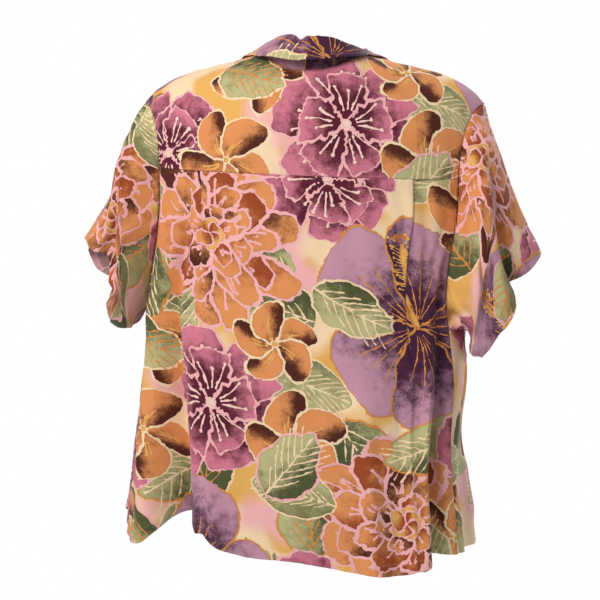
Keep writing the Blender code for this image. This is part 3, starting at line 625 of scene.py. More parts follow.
def back_grid():
    """The back's points with its pleats, their outward directions, and the a and level that each comes to lie at."""
    stretch, share, turn = back_columns().T
    stretch = stretch.astype(int)
    level = np.tile(fine_spans(0, 1, 150, 0.007, 4)[:, None], (1, len(share)))
    right, left = (p.hem + (p.top - p.hem) * level[:, 0] ** FOLD_POWER for p in PLEATS)
    ends = np.array([-np.ones_like(right), right, left, np.ones_like(left)])
    a = (ends[stretch] + (ends[stretch + 1] - ends[stretch]) * share[:, None]).T
    points = sheet("back", a, level)
    run, out = (v.T.reshape(points.shape) for v in directions("back", a.ravel(), level.ravel()))
    opened = smooth((1 - level[:, 0]) / (1 - PLEAT_OPENS))
    path = through(np.arange(len(PLEAT)), PLEAT, np.maximum(turn, 0))
    lies = a.copy()
    for c in range(len(share)):
        for pleat, at in zip(PLEATS, (right, left)):
            beyond = (a[:, c] - at) * pleat.way
            if turn[c] >= 0 and np.abs(beyond).max() < 1e-9:
                t, fade = Turn(*path[c]), 1.0
            elif beyond.min() > 0:
                t, fade = PLEAT[-1], smooth(1 - beyond / PLEAT_SETTLE)
            else:
                continue
            along = (t.along + (t.along_open - t.along) * opened) * fade * pleat.way
            deep = (t.deep + (t.deep_open - t.deep) * opened) * fade
            points[:, c] += run[:, c] * along[:, None] - out[:, c] * deep[:, None]
            lies[:, c] += along / BODY_UNITS[0]
    return points, out, lies, level


def make_back():
    points, out, lies, level = back_grid()
    flat = centred_places(points, -1)
    low, high, first, last = from_edges(points)
    folds = creases_height(BACK_CREASES, lies, level, BODY_UNITS)
    folds += drift(np.stack([lies, level], axis=-1) * BODY_UNITS, seed=3, size=0.010)
    side = np.minimum(first, last)
    folds *= smooth(high / BACK_CLEAR[0]) * smooth(side / BACK_CLEAR[1])
    points = points + out * folds[..., None]
    height = pucker(points, "high", seed=4) + pucker(points, "low", 5, *HEM_PUCKER)
    form, vent = side_form(side, level)
    height += form + dip(high) + hem_form(low, HEM_BAND)
    height += (pucker(points, "first", seed=6) + pucker(points, "last", seed=7)) * (1 - vent)
    points = add_height(points, True, height)
    lines = hem_lines(points, True, level[:, 0], ("first", "last"))
    points, flat = tuck_under(points, flat, True)
    sew("shirt_back", points, flat, True, stitch(lines))


def make_yoke():
    """Rows go up the back, over the shoulders and down the front, where the middle columns are left out."""
    side = fine_spans(0, 1, 56, 0.010, 4) ** COLUMN_POWER
    middle = np.linspace(-1, 1, 71)[1:-1] * NECK_A
    back_level = spans((1.0, 1.018, 4), (1.018, 2.0, 62))
    front_level = spans((2.0, YOKE_FRONT + 0.018, 11), (YOKE_FRONT + 0.018, YOKE_FRONT, 4))[1:]
    a, level = [], np.append(back_level, 4 - front_level)
    for inner in np.append(np.full(len(back_level), front_edge(2.0)), front_edge(front_level)):
        wing = 1 + (inner - 1) * side
        a.append(np.concatenate([-wing, middle, wing[::-1]]))
    a, level = np.broadcast_arrays(a, level[:, None])
    points = over(a, level, np.zeros_like(a))
    flat = centred_places(points)
    low, high, first, last = from_edges(points)
    side_seam = np.minimum(first, last)
    height = creases_height(YOKE_CREASES, a, level, BODY_UNITS) + drift(flat, seed=13, size=0.006)
    height *= smooth(low / YOKE_CLEAR) * smooth(side_seam / YOKE_CLEAR)
    height += dip(side_seam) + pucker(points, "low", seed=14, size=0.00022) + YOKE_RAISE + dip(low, *YOKE_EDGE)
    height += YOKE_RAISE * (1 - smooth(high / 0.01)) + dip(high, *YOKE_EDGE)
    height += pucker(points, "first", seed=16, size=0.0003) + pucker(points, "last", seed=17, size=0.0003)
    points = add_height(points, True, height)
    keep = np.ones((len(points) - 1, points.shape[1] - 1), bool)
    keep[len(back_level) - 1 :, len(side) - 1 : -len(side) + 1] = False
    sew("shirt_yoke", points, flat, True, (), keep=keep)


def make_front(name, way):
    """way is 1 for the left front, which lies over the right one, and -1 for that."""
    level = spans((0, 0.007, 4), (0.007, YOKE_FRONT - 0.016, 205), (YOKE_FRONT - 0.016, YOKE_FRONT, 4))[:, None]
    share = fine_spans(0, 1, 84, 0.012, 4) ** 1.1
    a = (1 + (front_edge(level) - 1) * share) * way
    level = np.broadcast_to(level, a.shape)
    points = sheet("front", a, level)
    if way < 0:
        under = smooth((a - UNDER_A[0]) / UNDER_A[1])
        under *= 1 - smooth((level - V_LEVEL - UNDER_LEVEL[0]) / UNDER_LEVEL[1])
        points[..., 1] += UNDER * under
    grain = np.array([np.interp(-GRAIN_A, -way * row, np.arange(len(row))) for row in a])
    flat = flat_places(points, grain, 100)
    low, high, first, last = from_edges(points)
    height = creases_height(FRONT_CREASES, np.abs(a), level, BODY_UNITS) + drift(flat, seed=23 + way, size=0.009)
    for away, clear in zip((high, first, last), FRONT_CLEAR):
        height *= smooth(away / clear)
    height += pucker(points, "high", seed=24 + way) + pucker(points, "low", 25 + way, *HEM_PUCKER)
    form, vent = side_form(first, level)
    height += form + dip(high) + hem_form(low, HEM_BAND)
    height += pucker(points, "first", seed=26 + way) * (1 - vent) + dip(last, *OPEN_DIP)
    flip = way > 0
    points = add_height(points, flip, height)
    open_edge = inset(points, flip, "last", EDGE_STITCH)[level[:, 0] < LAPEL_START]
    strands = stitch(hem_lines(points, flip, level[:, 0], ("first",)) + [open_edge])
    if way > 0:
        strands += buttonholes(line_at(points, flip, a, 0.0), level[:, 0])
    points, flat = tuck_under(points, flat, flip)
    sew(f"shirt_{name}", points, flat, flip, strands)


def sleeve_grid(way, rings, waves):
    """Rows go down the sleeve, and columns round it from the underarm seam over the back to the same seam."""
    count = SLEEVE_COLUMNS
    at = spans((0, 0.02, 4), (0.02, 0.985, 66), (0.985, 1, 3))
    first = armhole(way, count)
    loops = np.array([first] + [ring_points(ring, way, count) for ring in rings])
    points = through([0.0] + [ring.at for ring in rings], loops, at)
    out = unit(points - points.mean(axis=1, keepdims=True))
    down = unit(points[-1] - points[np.searchsorted(at, 2 / 3)])
    turn = np.arange(count) / count * 360
    for wave in waves:
        away = (turn - wave.turn + 180) % 360 - 180
        grown = smooth((at - wave.start) / (1 - wave.start))
        grown = (grown[:, None] * np.exp(-2 * (away / wave.width) ** 2))[..., None]
        points += (out * wave.rise - down * wave.pull) * grown
    order = np.append(np.arange(count // 2, count), np.arange(count // 2 + 1))
    turn = np.append(turn[count // 2 :] - 360, turn[: count // 2 + 1])
    return points[:, order], turn, at


def make_sleeve(name, way, rings, waves, creases, recess=(), notches=()):
    points, turn, at = sleeve_grid(way, rings, waves)
    for notch in notches:
        near = np.exp(-(((points[..., 2] - notch.z) / notch.width) ** 2))
        points[..., 0] -= way * notch.deep * near * smooth((at - notch.start) / (1 - notch.start))[:, None]
    flip = way > 0
    flat = flat_places(points, np.full(len(points), np.searchsorted(turn, 0.0)), -1)
    low, high, first, last = from_edges(points)
    seam = np.minimum(first, last)
    place = turn[None, :], at[:, None], SLEEVE_UNITS
    height = creases_height(creases, *place) + drift(flat, seed=33 + way, size=0.010)
    height *= smooth((low - ARMHOLE_CLEAR[0]) / ARMHOLE_CLEAR[1]) * smooth(seam / SLEEVE_CLEAR)
    height += pucker(points, "low", 34 + way, *ARMHOLE_PUCKER)
    height += pucker(points, "high", 35 + way, *CUFF_PUCKER)
    height += dip(low, *ARMHOLE_DIP) + dip(seam) + hem_form(high, SLEEVE_BAND)
    height += creases_height(recess, *place)
    points = add_height(points, flip, height)
    allowance = points[:1] - grid_normals(points, flip)[:1] * SLEEVE_TUCK
    points = np.concatenate([allowance, points])
    flat = np.concatenate([flat[:1] + [0, SLEEVE_TUCK], flat])
    sew(f"shirt_{name}", points, flat, flip, stitch([inset(points, flip, "high", SLEEVE_BAND - STITCH_IN)]))


Sink = namedtuple("Sink", "u width deep")
COLLAR_SINKS = (Sink(0.035, 0.026, 0.0056), Sink(-0.25, 0.16, 0.0040))  # where the collar's roll sags


def collar_grid():
    side = np.linspace(COLLAR_SHOULDER, 1, 46)[1:]
    u = np.concatenate([-side[::-1], np.linspace(-1, 1, 101) * COLLAR_SHOULDER, side])
    bend = spans((0, 0.97, 40), (0.97, 1, 3))
    knots, *shares = zip(*COLLAR_BEND)
    out, up = (through(knots, share, bend) for share in shares)
    rows = through([r.at for r in COLLAR], [r[1:] for r in COLLAR], np.abs(u))
    stand, a_edge, level_edge, lift = rows.T[..., None]
    a, level = (v[:, None] for v in neckline(u))
    a = a + (a_edge * np.sign(u)[:, None] - a) * out
    level = level + (level_edge - level) * out
    lift = COLLAR_CLEAR + (lift - COLLAR_CLEAR) * out
    points = over(a, level, lift)
    points[..., 2] += stand * up
    base = points[..., 2].min(axis=1, keepdims=True)
    high = (points[..., 2] - base) / (points[..., 2].max(axis=1, keepdims=True) - base)
    for sink in COLLAR_SINKS:
        points[..., 2] -= sink.deep * np.exp(-(((u - sink.u) / sink.width) ** 2))[:, None] * high**2
    tuck = points[:, :1] * [COLLAR_TUCK_IN, COLLAR_TUCK_IN, 1] - [0, 0, COLLAR_TUCK]
    return np.concatenate([tuck, points], axis=1)


def faced_height(points, flat, seed):
    """What a piece of two layers adds: soft waves, and turned edges all round but at its first."""
    low, high, _, last = from_edges(points)
    edge = np.minimum(np.minimum(low, high), last)
    return drift(flat, seed, size=0.004) * smooth(edge / FACED_CLEAR) + dip(edge, *FACED_DIP)


def make_collar():
    points = collar_grid()
    flat = centred_places(points.transpose(1, 0, 2)).transpose(1, 0, 2)
    height = faced_height(points, flat, seed=43) + pucker(points, "last", seed=44, size=0.0002)
    points = add_height(points, True, height)
    strands = stitch([inset(points, True, "last", EDGE_STITCH)[4:-4]])
    sew("shirt_collar", points, flat, True, strands, **FACED)


def make_lapel(name, way):
    share = fine_spans(0, 1, 60, 0.02, 3)[:, None]
    across = fine_spans(0, 1, 34, 0.02, 3)[None, :] ** 0.8
    level = LAPEL_START + (GORGE_LEVEL - 0.004 - LAPEL_START) * share
    falls = smooth((across - LAPEL_NOTCH_START) / (1 - LAPEL_NOTCH_START))
    level = level - LAPEL_NOTCH * falls * share**2
    inner = front_edge(level)
    a = inner + (LAPEL_A - front_edge(GORGE_LEVEL)) * (LAPEL_FOOT + (1 - LAPEL_FOOT) * share) * across
    roll = through(np.arange(len(ROLL)), ROLL, np.linspace(0, len(ROLL) - 1, 14))
    a = np.hstack([inner[:, :1] + roll[:, 0] / ROLL_UNIT, a[:, 1:]])
    level = np.hstack([np.repeat(level[:, :1], len(roll), axis=1), level[:, 1:]])
    lift = np.hstack([roll[:, 1], np.full(across.size - 1, LAPEL_LIFT)])
    points = sheet("front", a * way, level) + normals("front", a * way, level) * lift[:, None]
    flip = way < 0
    flat = flat_places(points, np.zeros(len(points)), 0)
    points = add_height(points, flip, faced_height(points, flat, seed=53 + way))
    lines = inset(points, flip, "last", EDGE_STITCH)[3:-3], inset(points, flip, "high", EDGE_STITCH)[18:-5]
    sew(f"shirt_{name}", points, flat, flip, stitch(lines), **FACED)


# ---- Trim: stitches, buttonholes and buttons ----

STITCH = 0.0026  # from one stitch to the next
STITCH_SHOWS = 0.78  # the share of it that lies on top
THREAD = 0.0005
DASH = (  # the faces of a strand's 6 corners: its two ends, its two sides, its back and its face
    (0, 2, 5), (2, 1, 5), (1, 3, 5), (3, 0, 5), (2, 0, 4), (1, 2, 4), (3, 1, 4), (0, 3, 4),
)
HOLE_LENGTH = 0.015  # of a buttonhole
HOLE_STITCHES = 28  # along each of its sides
HOLE_SIDE = 0.00085  # from the slit to the middle of those stitches
HOLE_STITCH = (0.0013, 0.0006)  # length and width
HOLE_BAR = (0.0032, 0.0007)


def inset(points, flip, edge, distance):
    """A line at a distance inside a grid's edge: rows of a point and the cloth's outward direction there."""
    away, both = from_edge(points, edge), with_normals(points, flip)
    if edge in ("first", "last"):
        away, both = away.T, both.transpose(1, 0, 2)
    if edge in ("high", "last"):
        away, both = away[::-1], both[::-1]
    return np.array([read_line(both[:, c], away[:, c], distance) for c in range(away.shape[1])])


def line_at(points, flip, a, at):
    """The line of a grid's points and outward directions where a has the value at, one for each row."""
    both, order = with_normals(points, flip), np.argsort(a[0])
    return np.array([read_line(both[r, order], a[r, order], at) for r in range(len(points))])


def spread_line(line, pitch):
    """Spots a pitch apart along a line of points and outward directions, and the line's direction at each."""
    run = run_lengths(line[:, :3], 0)
    at = (np.arange(int(run[-1] / pitch)) + 0.5) * pitch
    spots, ahead = (read_line(line, run, at + more) for more in (0, pitch / 4))
    return spots, unit(ahead[:, :3] - spots[:, :3])


def dashes(spots, ways, length, width=THREAD, lift=0.0001):
    """Short strands of thread, thickest in the middle: an array of 6 corners for each."""
    out = unit(spots[:, 3:])
    aside = unit(np.cross(ways, out))
    middle = spots[:, :3] + out * lift
    ends = [way * length / 2 - out * lift for way in (-ways, ways)]
    sides = [way * width / 2 for way in (-aside, aside, -out, out)]
    return np.stack([middle + corner for corner in ends + sides], axis=1)


def stitch(lines):
    """Running stitches along lines."""
    return [dashes(*spread_line(line, STITCH), STITCH * STITCH_SHOWS) for line in lines]


def hem_lines(points, flip, level, sides):
    """The stitch lines of a body piece: along its hem, and up its side vents."""
    vents = [inset(points, flip, side, VENT_BAND - STITCH_IN)[level < VENT_LEVEL] for side in sides]
    return [inset(points, flip, "low", HEM_BAND - STITCH_IN)] + vents


def buttonholes(line, level):
    """Upright worked buttonholes on a line, one at each button's level, each with a bar at both ends."""
    run = run_lengths(line[:, :3], 0)
    strands = []
    for button_level in BUTTON_LEVELS:
        at = np.interp(button_level, level, run) + np.linspace(-0.5, 0.5, HOLE_STITCHES) * HOLE_LENGTH
        spots = read_line(line, run, at)
        aside = unit(np.cross(np.gradient(spots[:, :3], axis=0), spots[:, 3:]))
        for way in (-HOLE_SIDE, HOLE_SIDE):
            row = np.hstack([spots[:, :3] + aside * way, spots[:, 3:]])
            strands.append(dashes(row, aside, *HOLE_STITCH))
        ends = [0, 1, -2, -1]
        strands.append(dashes(spots[ends], aside[ends], *HOLE_BAR))
    return strands


BUTTON_RADIUS = 0.0057
BUTTON_THICK = 0.0026
BUTTON_LEVELS = (0.93, 0.745, 0.56, 0.375, 0.19)
BUTTON_GAP = 0.00054  # from the front to a button's back
BUTTON_TURNS = 60  # steps round a button
BUTTON_PROFILE = (  # shares of the radius and of half the thickness, from the middle of the back to the face
    (0.00, -0.92), (0.40, -0.97), (0.70, -1.00), (0.86, -0.90), (0.95, -0.62), (0.99, -0.30), (1.00, 0.00),
    (0.99, 0.35), (0.965, 0.66), (0.92, 0.88), (0.86, 1.00), (0.80, 0.98), (0.74, 0.84), (0.69, 0.66), (0.63, 0.56),
)
BUTTON_FACE = 0.52  # the height of the sunk face, as such a share
PIT_SIDES = (-0.0010605, 0.0010605)  # where the four thread holes lie, to each side of the middle
PIT_RADIUS = 0.00072
POST_SIDES = (-0.0005656, 0.0005656)  # where the threads lie behind the button
BAR_SHIFTS = (-0.00022, 0.0, 0.00022)  # the threads of one bar over the face
BAR = (0.0030, 0.00042)  # a thread's length and width there
POST = (BUTTON_GAP + 0.0012, 0.0009)  # and behind the button


def button_place(level):
    """Where a button's middle is, and the way that it faces."""
    a, level = np.zeros(1), np.array([level])
    out = normals("front", a, level)[0]
    return sheet("front", a, level)[0] + out * (BUTTON_THICK / 2 + BUTTON_GAP), out


def make_button(number, level):
    """A turned button with a raised rim and four holes, sewn on with two bars of thread."""
    name = f"shirt_button_{number}"
    face = [(share, BUTTON_FACE) for share in np.linspace(0.60, 0.0, 26)]
    shares = np.array(BUTTON_PROFILE + tuple(face))
    turn = np.arange(BUTTON_TURNS) / BUTTON_TURNS * 2 * pi
    x, y = (shares[:, :1] * BUTTON_RADIUS * wave(turn) for wave in (np.cos, np.sin))
    z = np.repeat(shares[:, 1:] * BUTTON_THICK / 2, BUTTON_TURNS, axis=1)
    away = np.min([np.hypot(x - i, y - j) for i in PIT_SIDES for j in PIT_SIDES], axis=0)
    z -= smooth((PIT_RADIUS * 1.12 - away) / (PIT_RADIUS * 0.3)) * BUTTON_THICK * 0.6 * (shares[:, 1:] > 0)
    spot = np.arange(z.size).reshape(z.shape)
    faces = quads(np.hstack([spot, spot[:, :1]])).reshape(-1, 4)
    place, out = button_place(level)
    axes = np.array(Vector(out).to_track_quat("Z", "Y").to_matrix())
    mesh = make_mesh(name, np.stack([x, y, z], axis=-1) @ axes.T + place, faces, "button_brown")
    merge_points(mesh)
    obj = link(name, mesh)
    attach(obj, "root")
    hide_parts(f"button_{number}")
    right, up = axes.T[:2]
    strands = []
    for side, post_side in zip(PIT_SIDES, POST_SIDES):
        for shift in BAR_SHIFTS:
            bar = place + right * (side + shift) + out * BUTTON_THICK * 0.30
            strands.append(dashes(np.array([[*bar, *out]]), up[None], *BAR))
        for post_up in POST_SIDES:
            post = place + right * post_side + up * post_up - out * (BUTTON_THICK + BUTTON_GAP) / 2
            strands.append(dashes(np.array([[*post, *up]]), out[None], *POST, 0.0))
    sew_on(f"{name}_thread", strands)


def merge_points(mesh):
    shape = bmesh.new()
    shape.from_mesh(mesh)
    bmesh.ops.remove_doubles(shape, verts=shape.verts, dist=1e-6)
    shape.to_mesh(mesh)
    shape.free()


# ---- The print: an all-over design of flowers and leaves, drawn as petals and strokes on the flat cloth ----

TILE = 0.580  # the design repeats at this distance, both ways
PRINTED = 1.15  # times the size that it is drawn at
PETAL_SLOTS = 5  # how many petals can show on one face of the mesh
STROKE_SLOTS = 4
MARGIN = 0.0026  # how far the brush may stray from a shape's drawn edge
RIM_SPREAD = 1.5  # how wide a petal's rim may come out, as a share of the drawn one
WOBBLE_FINE = 0.0024  # the brush's fine and its broad straying
WOBBLE_BROAD = 0.0050
MOTTLE = 1.80  # how much the ink pools, and how much it grains
GRAIN = 0.80
INK = {  # sRGB colours
    "plum": (0.255, 0.105, 0.220),
    "lavender": (0.745, 0.560, 0.640),
    "ochre": (0.800, 0.540, 0.270),
    "gold": (0.870, 0.670, 0.350),
    "amber": (0.760, 0.450, 0.200),
    "rust": (0.580, 0.270, 0.130),
    "orange": (0.850, 0.560, 0.340),
    "umber": (0.300, 0.120, 0.070),
    "wine": (0.330, 0.080, 0.170),
    "rose": (0.800, 0.470, 0.550),
    "blush": (0.905, 0.680, 0.685),
    "shell": (0.930, 0.795, 0.740),
    "cream": (0.925, 0.825, 0.670),
    "sage": (0.715, 0.700, 0.505),
    "moss": (0.470, 0.470, 0.310),
    "olive": (0.300, 0.325, 0.190),
}
Petal = namedtuple("Petal", "x y angle length width taper tip frill ruffles bend wash dark light edge rim")
Stroke = namedtuple("Stroke", "x y angle length pen drop bend ink")
Wash = namedtuple("Wash", "start along across deep")  # how far a petal's colour turns from dark to light
Motif = namedtuple("Motif", "draw x y size turn seed")


def linear(colour):
    """An sRGB colour as linear light."""
    colour = np.asarray(colour, float)
    return np.where(colour < 0.04045, colour / 12.92, ((colour + 0.055) / 1.055) ** 2.4)


class Drawing:
    """Collects a motif's petals and strokes, from the lowest to the highest, about the motif's middle."""

    def __init__(self, motif):
        self.motif = motif
        self.rng = np.random.default_rng(motif.seed)
        self.shapes = []

    def place(self, angle, start, aside, lean):
        """Where a shape begins, and its own angle, from its angle about the motif's middle."""
        turn = radians(self.motif.turn + angle)
        x = self.motif.x + start * cos(turn) - aside * sin(turn)
        y = self.motif.y + start * sin(turn) + aside * cos(turn)
        return x, y, radians(self.motif.turn + angle + lean)

    def petal(self, angle, start, *form, frill=0.0, ruffles=5, bend=0.0, lean=0.0):
        """form holds length, width, taper, tip, wash, dark, light, edge and rim."""
        place, size, look = self.place(angle, start, 0.0, lean), form[:4], form[4:]
        self.shapes.append(Petal(*place, *size, frill, ruffles, bend, *look))

    def stroke(self, angle, start, length, pen, drop, ink, aside=0.0, lean=0.0, bend=0.0):
        self.shapes.append(Stroke(*self.place(angle, start, aside, lean), length, pen, drop, bend, ink))

    def about(self, value, share):
        """A value that strays by up to a share of itself."""
        return value * (1 + share * self.rng.uniform(-1, 1))


def hibiscus(d, size):
    """A large flower of five broad petals, with a long column of anthers in its dark throat."""
    for turn in np.array([0, 144, 288, 72, 216]) + d.rng.uniform(-5, 5, 5):
        wash = Wash(d.rng.uniform(-0.80, -0.45), 1.70, d.rng.uniform(-0.35, 0.35), 0.10)
        length, bend = d.about(size, 0.07), d.rng.uniform(-0.16, 0.16)
        d.petal(
            turn, 0.0, length, d.about(0.45 * size, 0.08), 0.90, 0.40, wash, "plum", "lavender", "ochre",
            0.0010, frill=0.0032, ruffles=6, bend=bend,
        )
        for side in (-24, -12, 0, 12, 24):
            reach = d.about((0.62 - abs(side) / 130) * size, 0.12)
            d.stroke(turn + side * 0.8, 0.08 * size, reach, 0.0006, 0.0006, "ochre", bend=bend + side / 130)
    wash = Wash(0.55, 0.5, 0.4, 0.0)
    d.petal(36, -0.02 * size, 0.80 * size, 0.030 * size, 0.15, 0.2, wash, "rust", "gold", "ochre", 0.0005, bend=0.12)
    for start in np.linspace(0.34, 0.78, 15):
        for way in (-1, 1):
            reach, lean = d.about(0.095 * size, 0.3), way * d.about(58, 0.2)
            d.stroke(36, start * size, reach, 0.0006, d.about(0.0018, 0.2), "gold", 0.12 * size * start**2, lean)
    for lean in (-50, -25, 0, 25, 50):
        d.stroke(36, 0.78 * size, 0.075 * size, 0.0007, 0.0021, "amber", 0.075 * size, lean + 12)


def layered(d, size):
    """A many-petalled flower, ring over ring."""
    rings = ((0, 11, 1.0, 0.225), (1, 10, 0.77, 0.195), (2, 8, 0.54, 0.165), (3, 6, 0.33, 0.12))
    for ring, count, reach, wide in rings:
        turns = (np.arange(count) + 0.5 * ring) / count * 360
        for turn in d.rng.permutation(turns):
            turn += d.rng.uniform(-8, 8)
            flipped = d.rng.random() < 0.30
            wash = Wash(1.0, -1.3, 0.2, 0.2) if flipped else Wash(d.rng.uniform(-0.85, -0.30), 1.60, 0.25, 0.10)
            dark, length = d.rng.choice(["umber", "rust"]), d.about(reach * size, 0.10)
            d.petal(
                turn, 0.0, length, d.about(wide * size, 0.13), 1.1, d.rng.uniform(0.45, 0.75), wash, dark, "orange",
                "blush", d.about(0.0017, 0.3), frill=0.0024, ruffles=5, bend=d.rng.uniform(-0.2, 0.2),
            )
            for side in d.rng.permutation([-0.35, 0.0, 0.35])[: d.rng.integers(1, 4)]:
                start, aside = 0.55 * length, side * 0.5 * wide * size
                reach_on, lean = d.about(0.19 * size, 0.35) * reach, side * 30 + d.rng.uniform(-10, 10)
                d.stroke(turn, start, reach_on, 0.0011, 0.0019, "blush", aside, lean, d.rng.uniform(-0.3, 0.3))
    for turn in np.arange(5) / 5 * 360:
        wash = Wash(-0.35, 1.5, 0.3, 0.1)
        d.petal(turn, 0, 0.17 * size, 0.11 * size, 0.7, 0.7, wash, "rust", "gold", "blush", 0.0010, bend=0.35)


def ruffled(d, size):
    """A blossom of ruffled petals, dark inside, with pale stamens."""
    for ring, count, reach, wide in ((0, 6, 1.0, 0.42), (1, 5, 0.66, 0.33)):
        turns = (np.arange(count) + 0.5 * ring) / count * 360
        for turn in turns:
            turn += d.rng.uniform(-8, 8)
            length = d.about(reach * size, 0.10)
            wash = Wash(d.rng.uniform(-0.95, -0.50), 1.70, d.rng.uniform(-0.3, 0.3), 0.0)
            d.petal(
                turn, 0.0, length, d.about(wide * size, 0.10), 1.0, 0.42, wash, "wine", "rose", "blush",
                d.about(0.0015, 0.3), frill=0.0042, ruffles=9, bend=d.rng.uniform(-0.15, 0.15),
            )
            for side in (-16, 0, 15):
                start, bend = (0.14 + d.rng.uniform(0, 0.06)) * size, side / 110 + d.rng.uniform(-0.15, 0.15)
                d.stroke(turn + side, start, d.about(0.46 * length, 0.3), 0.0010, 0.0020, "shell", bend=bend)
    wash = Wash(0.6, 0.5, 0, 0)
    d.petal(0, -0.06 * size, 0.14 * size, 0.06 * size, 0.5, 0.5, wash, "rose", "shell", "shell", 0.0006)


def pinwheel(d, size):
    """A small flower whose five petals overlap like a pinwheel, dark along one side."""
    for turn in np.arange(5) / 5 * 360 + d.rng.uniform(-5, 5, 5):
        wash = Wash(d.rng.uniform(0.10, 0.35), 0.40, -0.95, 0.30)
        d.petal(
            turn, 0.0, d.about(size, 0.07), d.about(0.44 * size, 0.08), 0.90, 0.45, wash, "umber", "orange", "cream",
            0.0012, frill=0.0012, ruffles=4, bend=0.30,
        )
        d.stroke(turn, 0.06 * size, d.about(0.52 * size, 0.2), 0.0008, 0.0013, "gold", bend=0.30)
        d.stroke(turn - 10, 0.10 * size, d.about(0.34 * size, 0.2), 0.0007, 0.0011, "gold", bend=0.30)
    wash = Wash(0.4, 0.5, 0, 0.2)
    d.petal(0, -0.08 * size, 0.16 * size, 0.08 * size, 0.5, 0.5, wash, "ochre", "gold", "cream", 0.0006)


def broad_leaf(d, size):
    """A broad leaf with a midrib and side veins."""
    width = d.about(0.33 * size, 0.12)
    vein = "cream" if d.rng.random() < 0.6 else "ochre"
    wash = Wash(d.rng.uniform(-0.3, 0.5), d.rng.uniform(-0.2, 0.8), d.rng.choice([-0.7, 0.7]), 0.15)
    edge, bend = d.rng.choice(["cream", "blush", "ochre"]), d.rng.uniform(-0.15, 0.15)
    d.petal(0, 0, size, width, 0.62, 0.85, wash, "olive", "sage", edge, 0.0012, frill=0.0024, ruffles=7, bend=bend)
    d.stroke(0, 0, 0.93 * size, 0.0010, 0.0010, vein, bend=bend)
    for start in np.linspace(0.10, 0.74, 6):
        reach = width * 1.25 * sin(pi * (0.18 + 0.75 * start))
        for way in (-1, 1):
            at, aside = (start + 0.02 * way) * size, bend * size * start**2
            d.stroke(0, at, d.about(reach, 0.12), 0.0008, 0.0008, vein, aside, way * 44, way * -0.16)


def fine_leaf(d, size):
    """A pale leaf with close, fine veins."""
    width = d.about(0.27 * size, 0.1)
    d.petal(0, 0, size, width, 0.7, 0.8, Wash(0.25, 0.55, 0.4, 0.1), "moss", "sage", "cream", 0.0009)
    d.stroke(0, 0, 0.95 * size, 0.0009, 0.0009, "cream")
    for start in np.linspace(0.08, 0.82, 9):
        reach = width * 1.15 * sin(pi * (0.14 + 0.80 * start))
        for way in (-1, 1):
            d.stroke(0, start * size, reach, 0.0006, 0.0006, "cream", lean=way * 36, bend=way * -0.12)


def frond(d, size):
    """A frond of narrow leaflets on a stem."""
    for start in np.linspace(0.08, 0.92, 11):
        reach = size * (0.40 * sin(pi * (0.16 + 0.72 * start)) + 0.03)
        for way in (-1, 1):
            wash = Wash(d.rng.uniform(-0.1, 0.4), 0.5, 0.2, 0.2)
            d.petal(
                0, start * size, d.about(reach, 0.08), 0.052 * size, 0.7, 0.8, wash, "olive", "sage", "cream", 0.0007,
                lean=way * (58 - 22 * start), bend=way * -0.16,
            )
    d.stroke(0, 0, 0.98 * size, 0.0010, 0.0010, "moss")


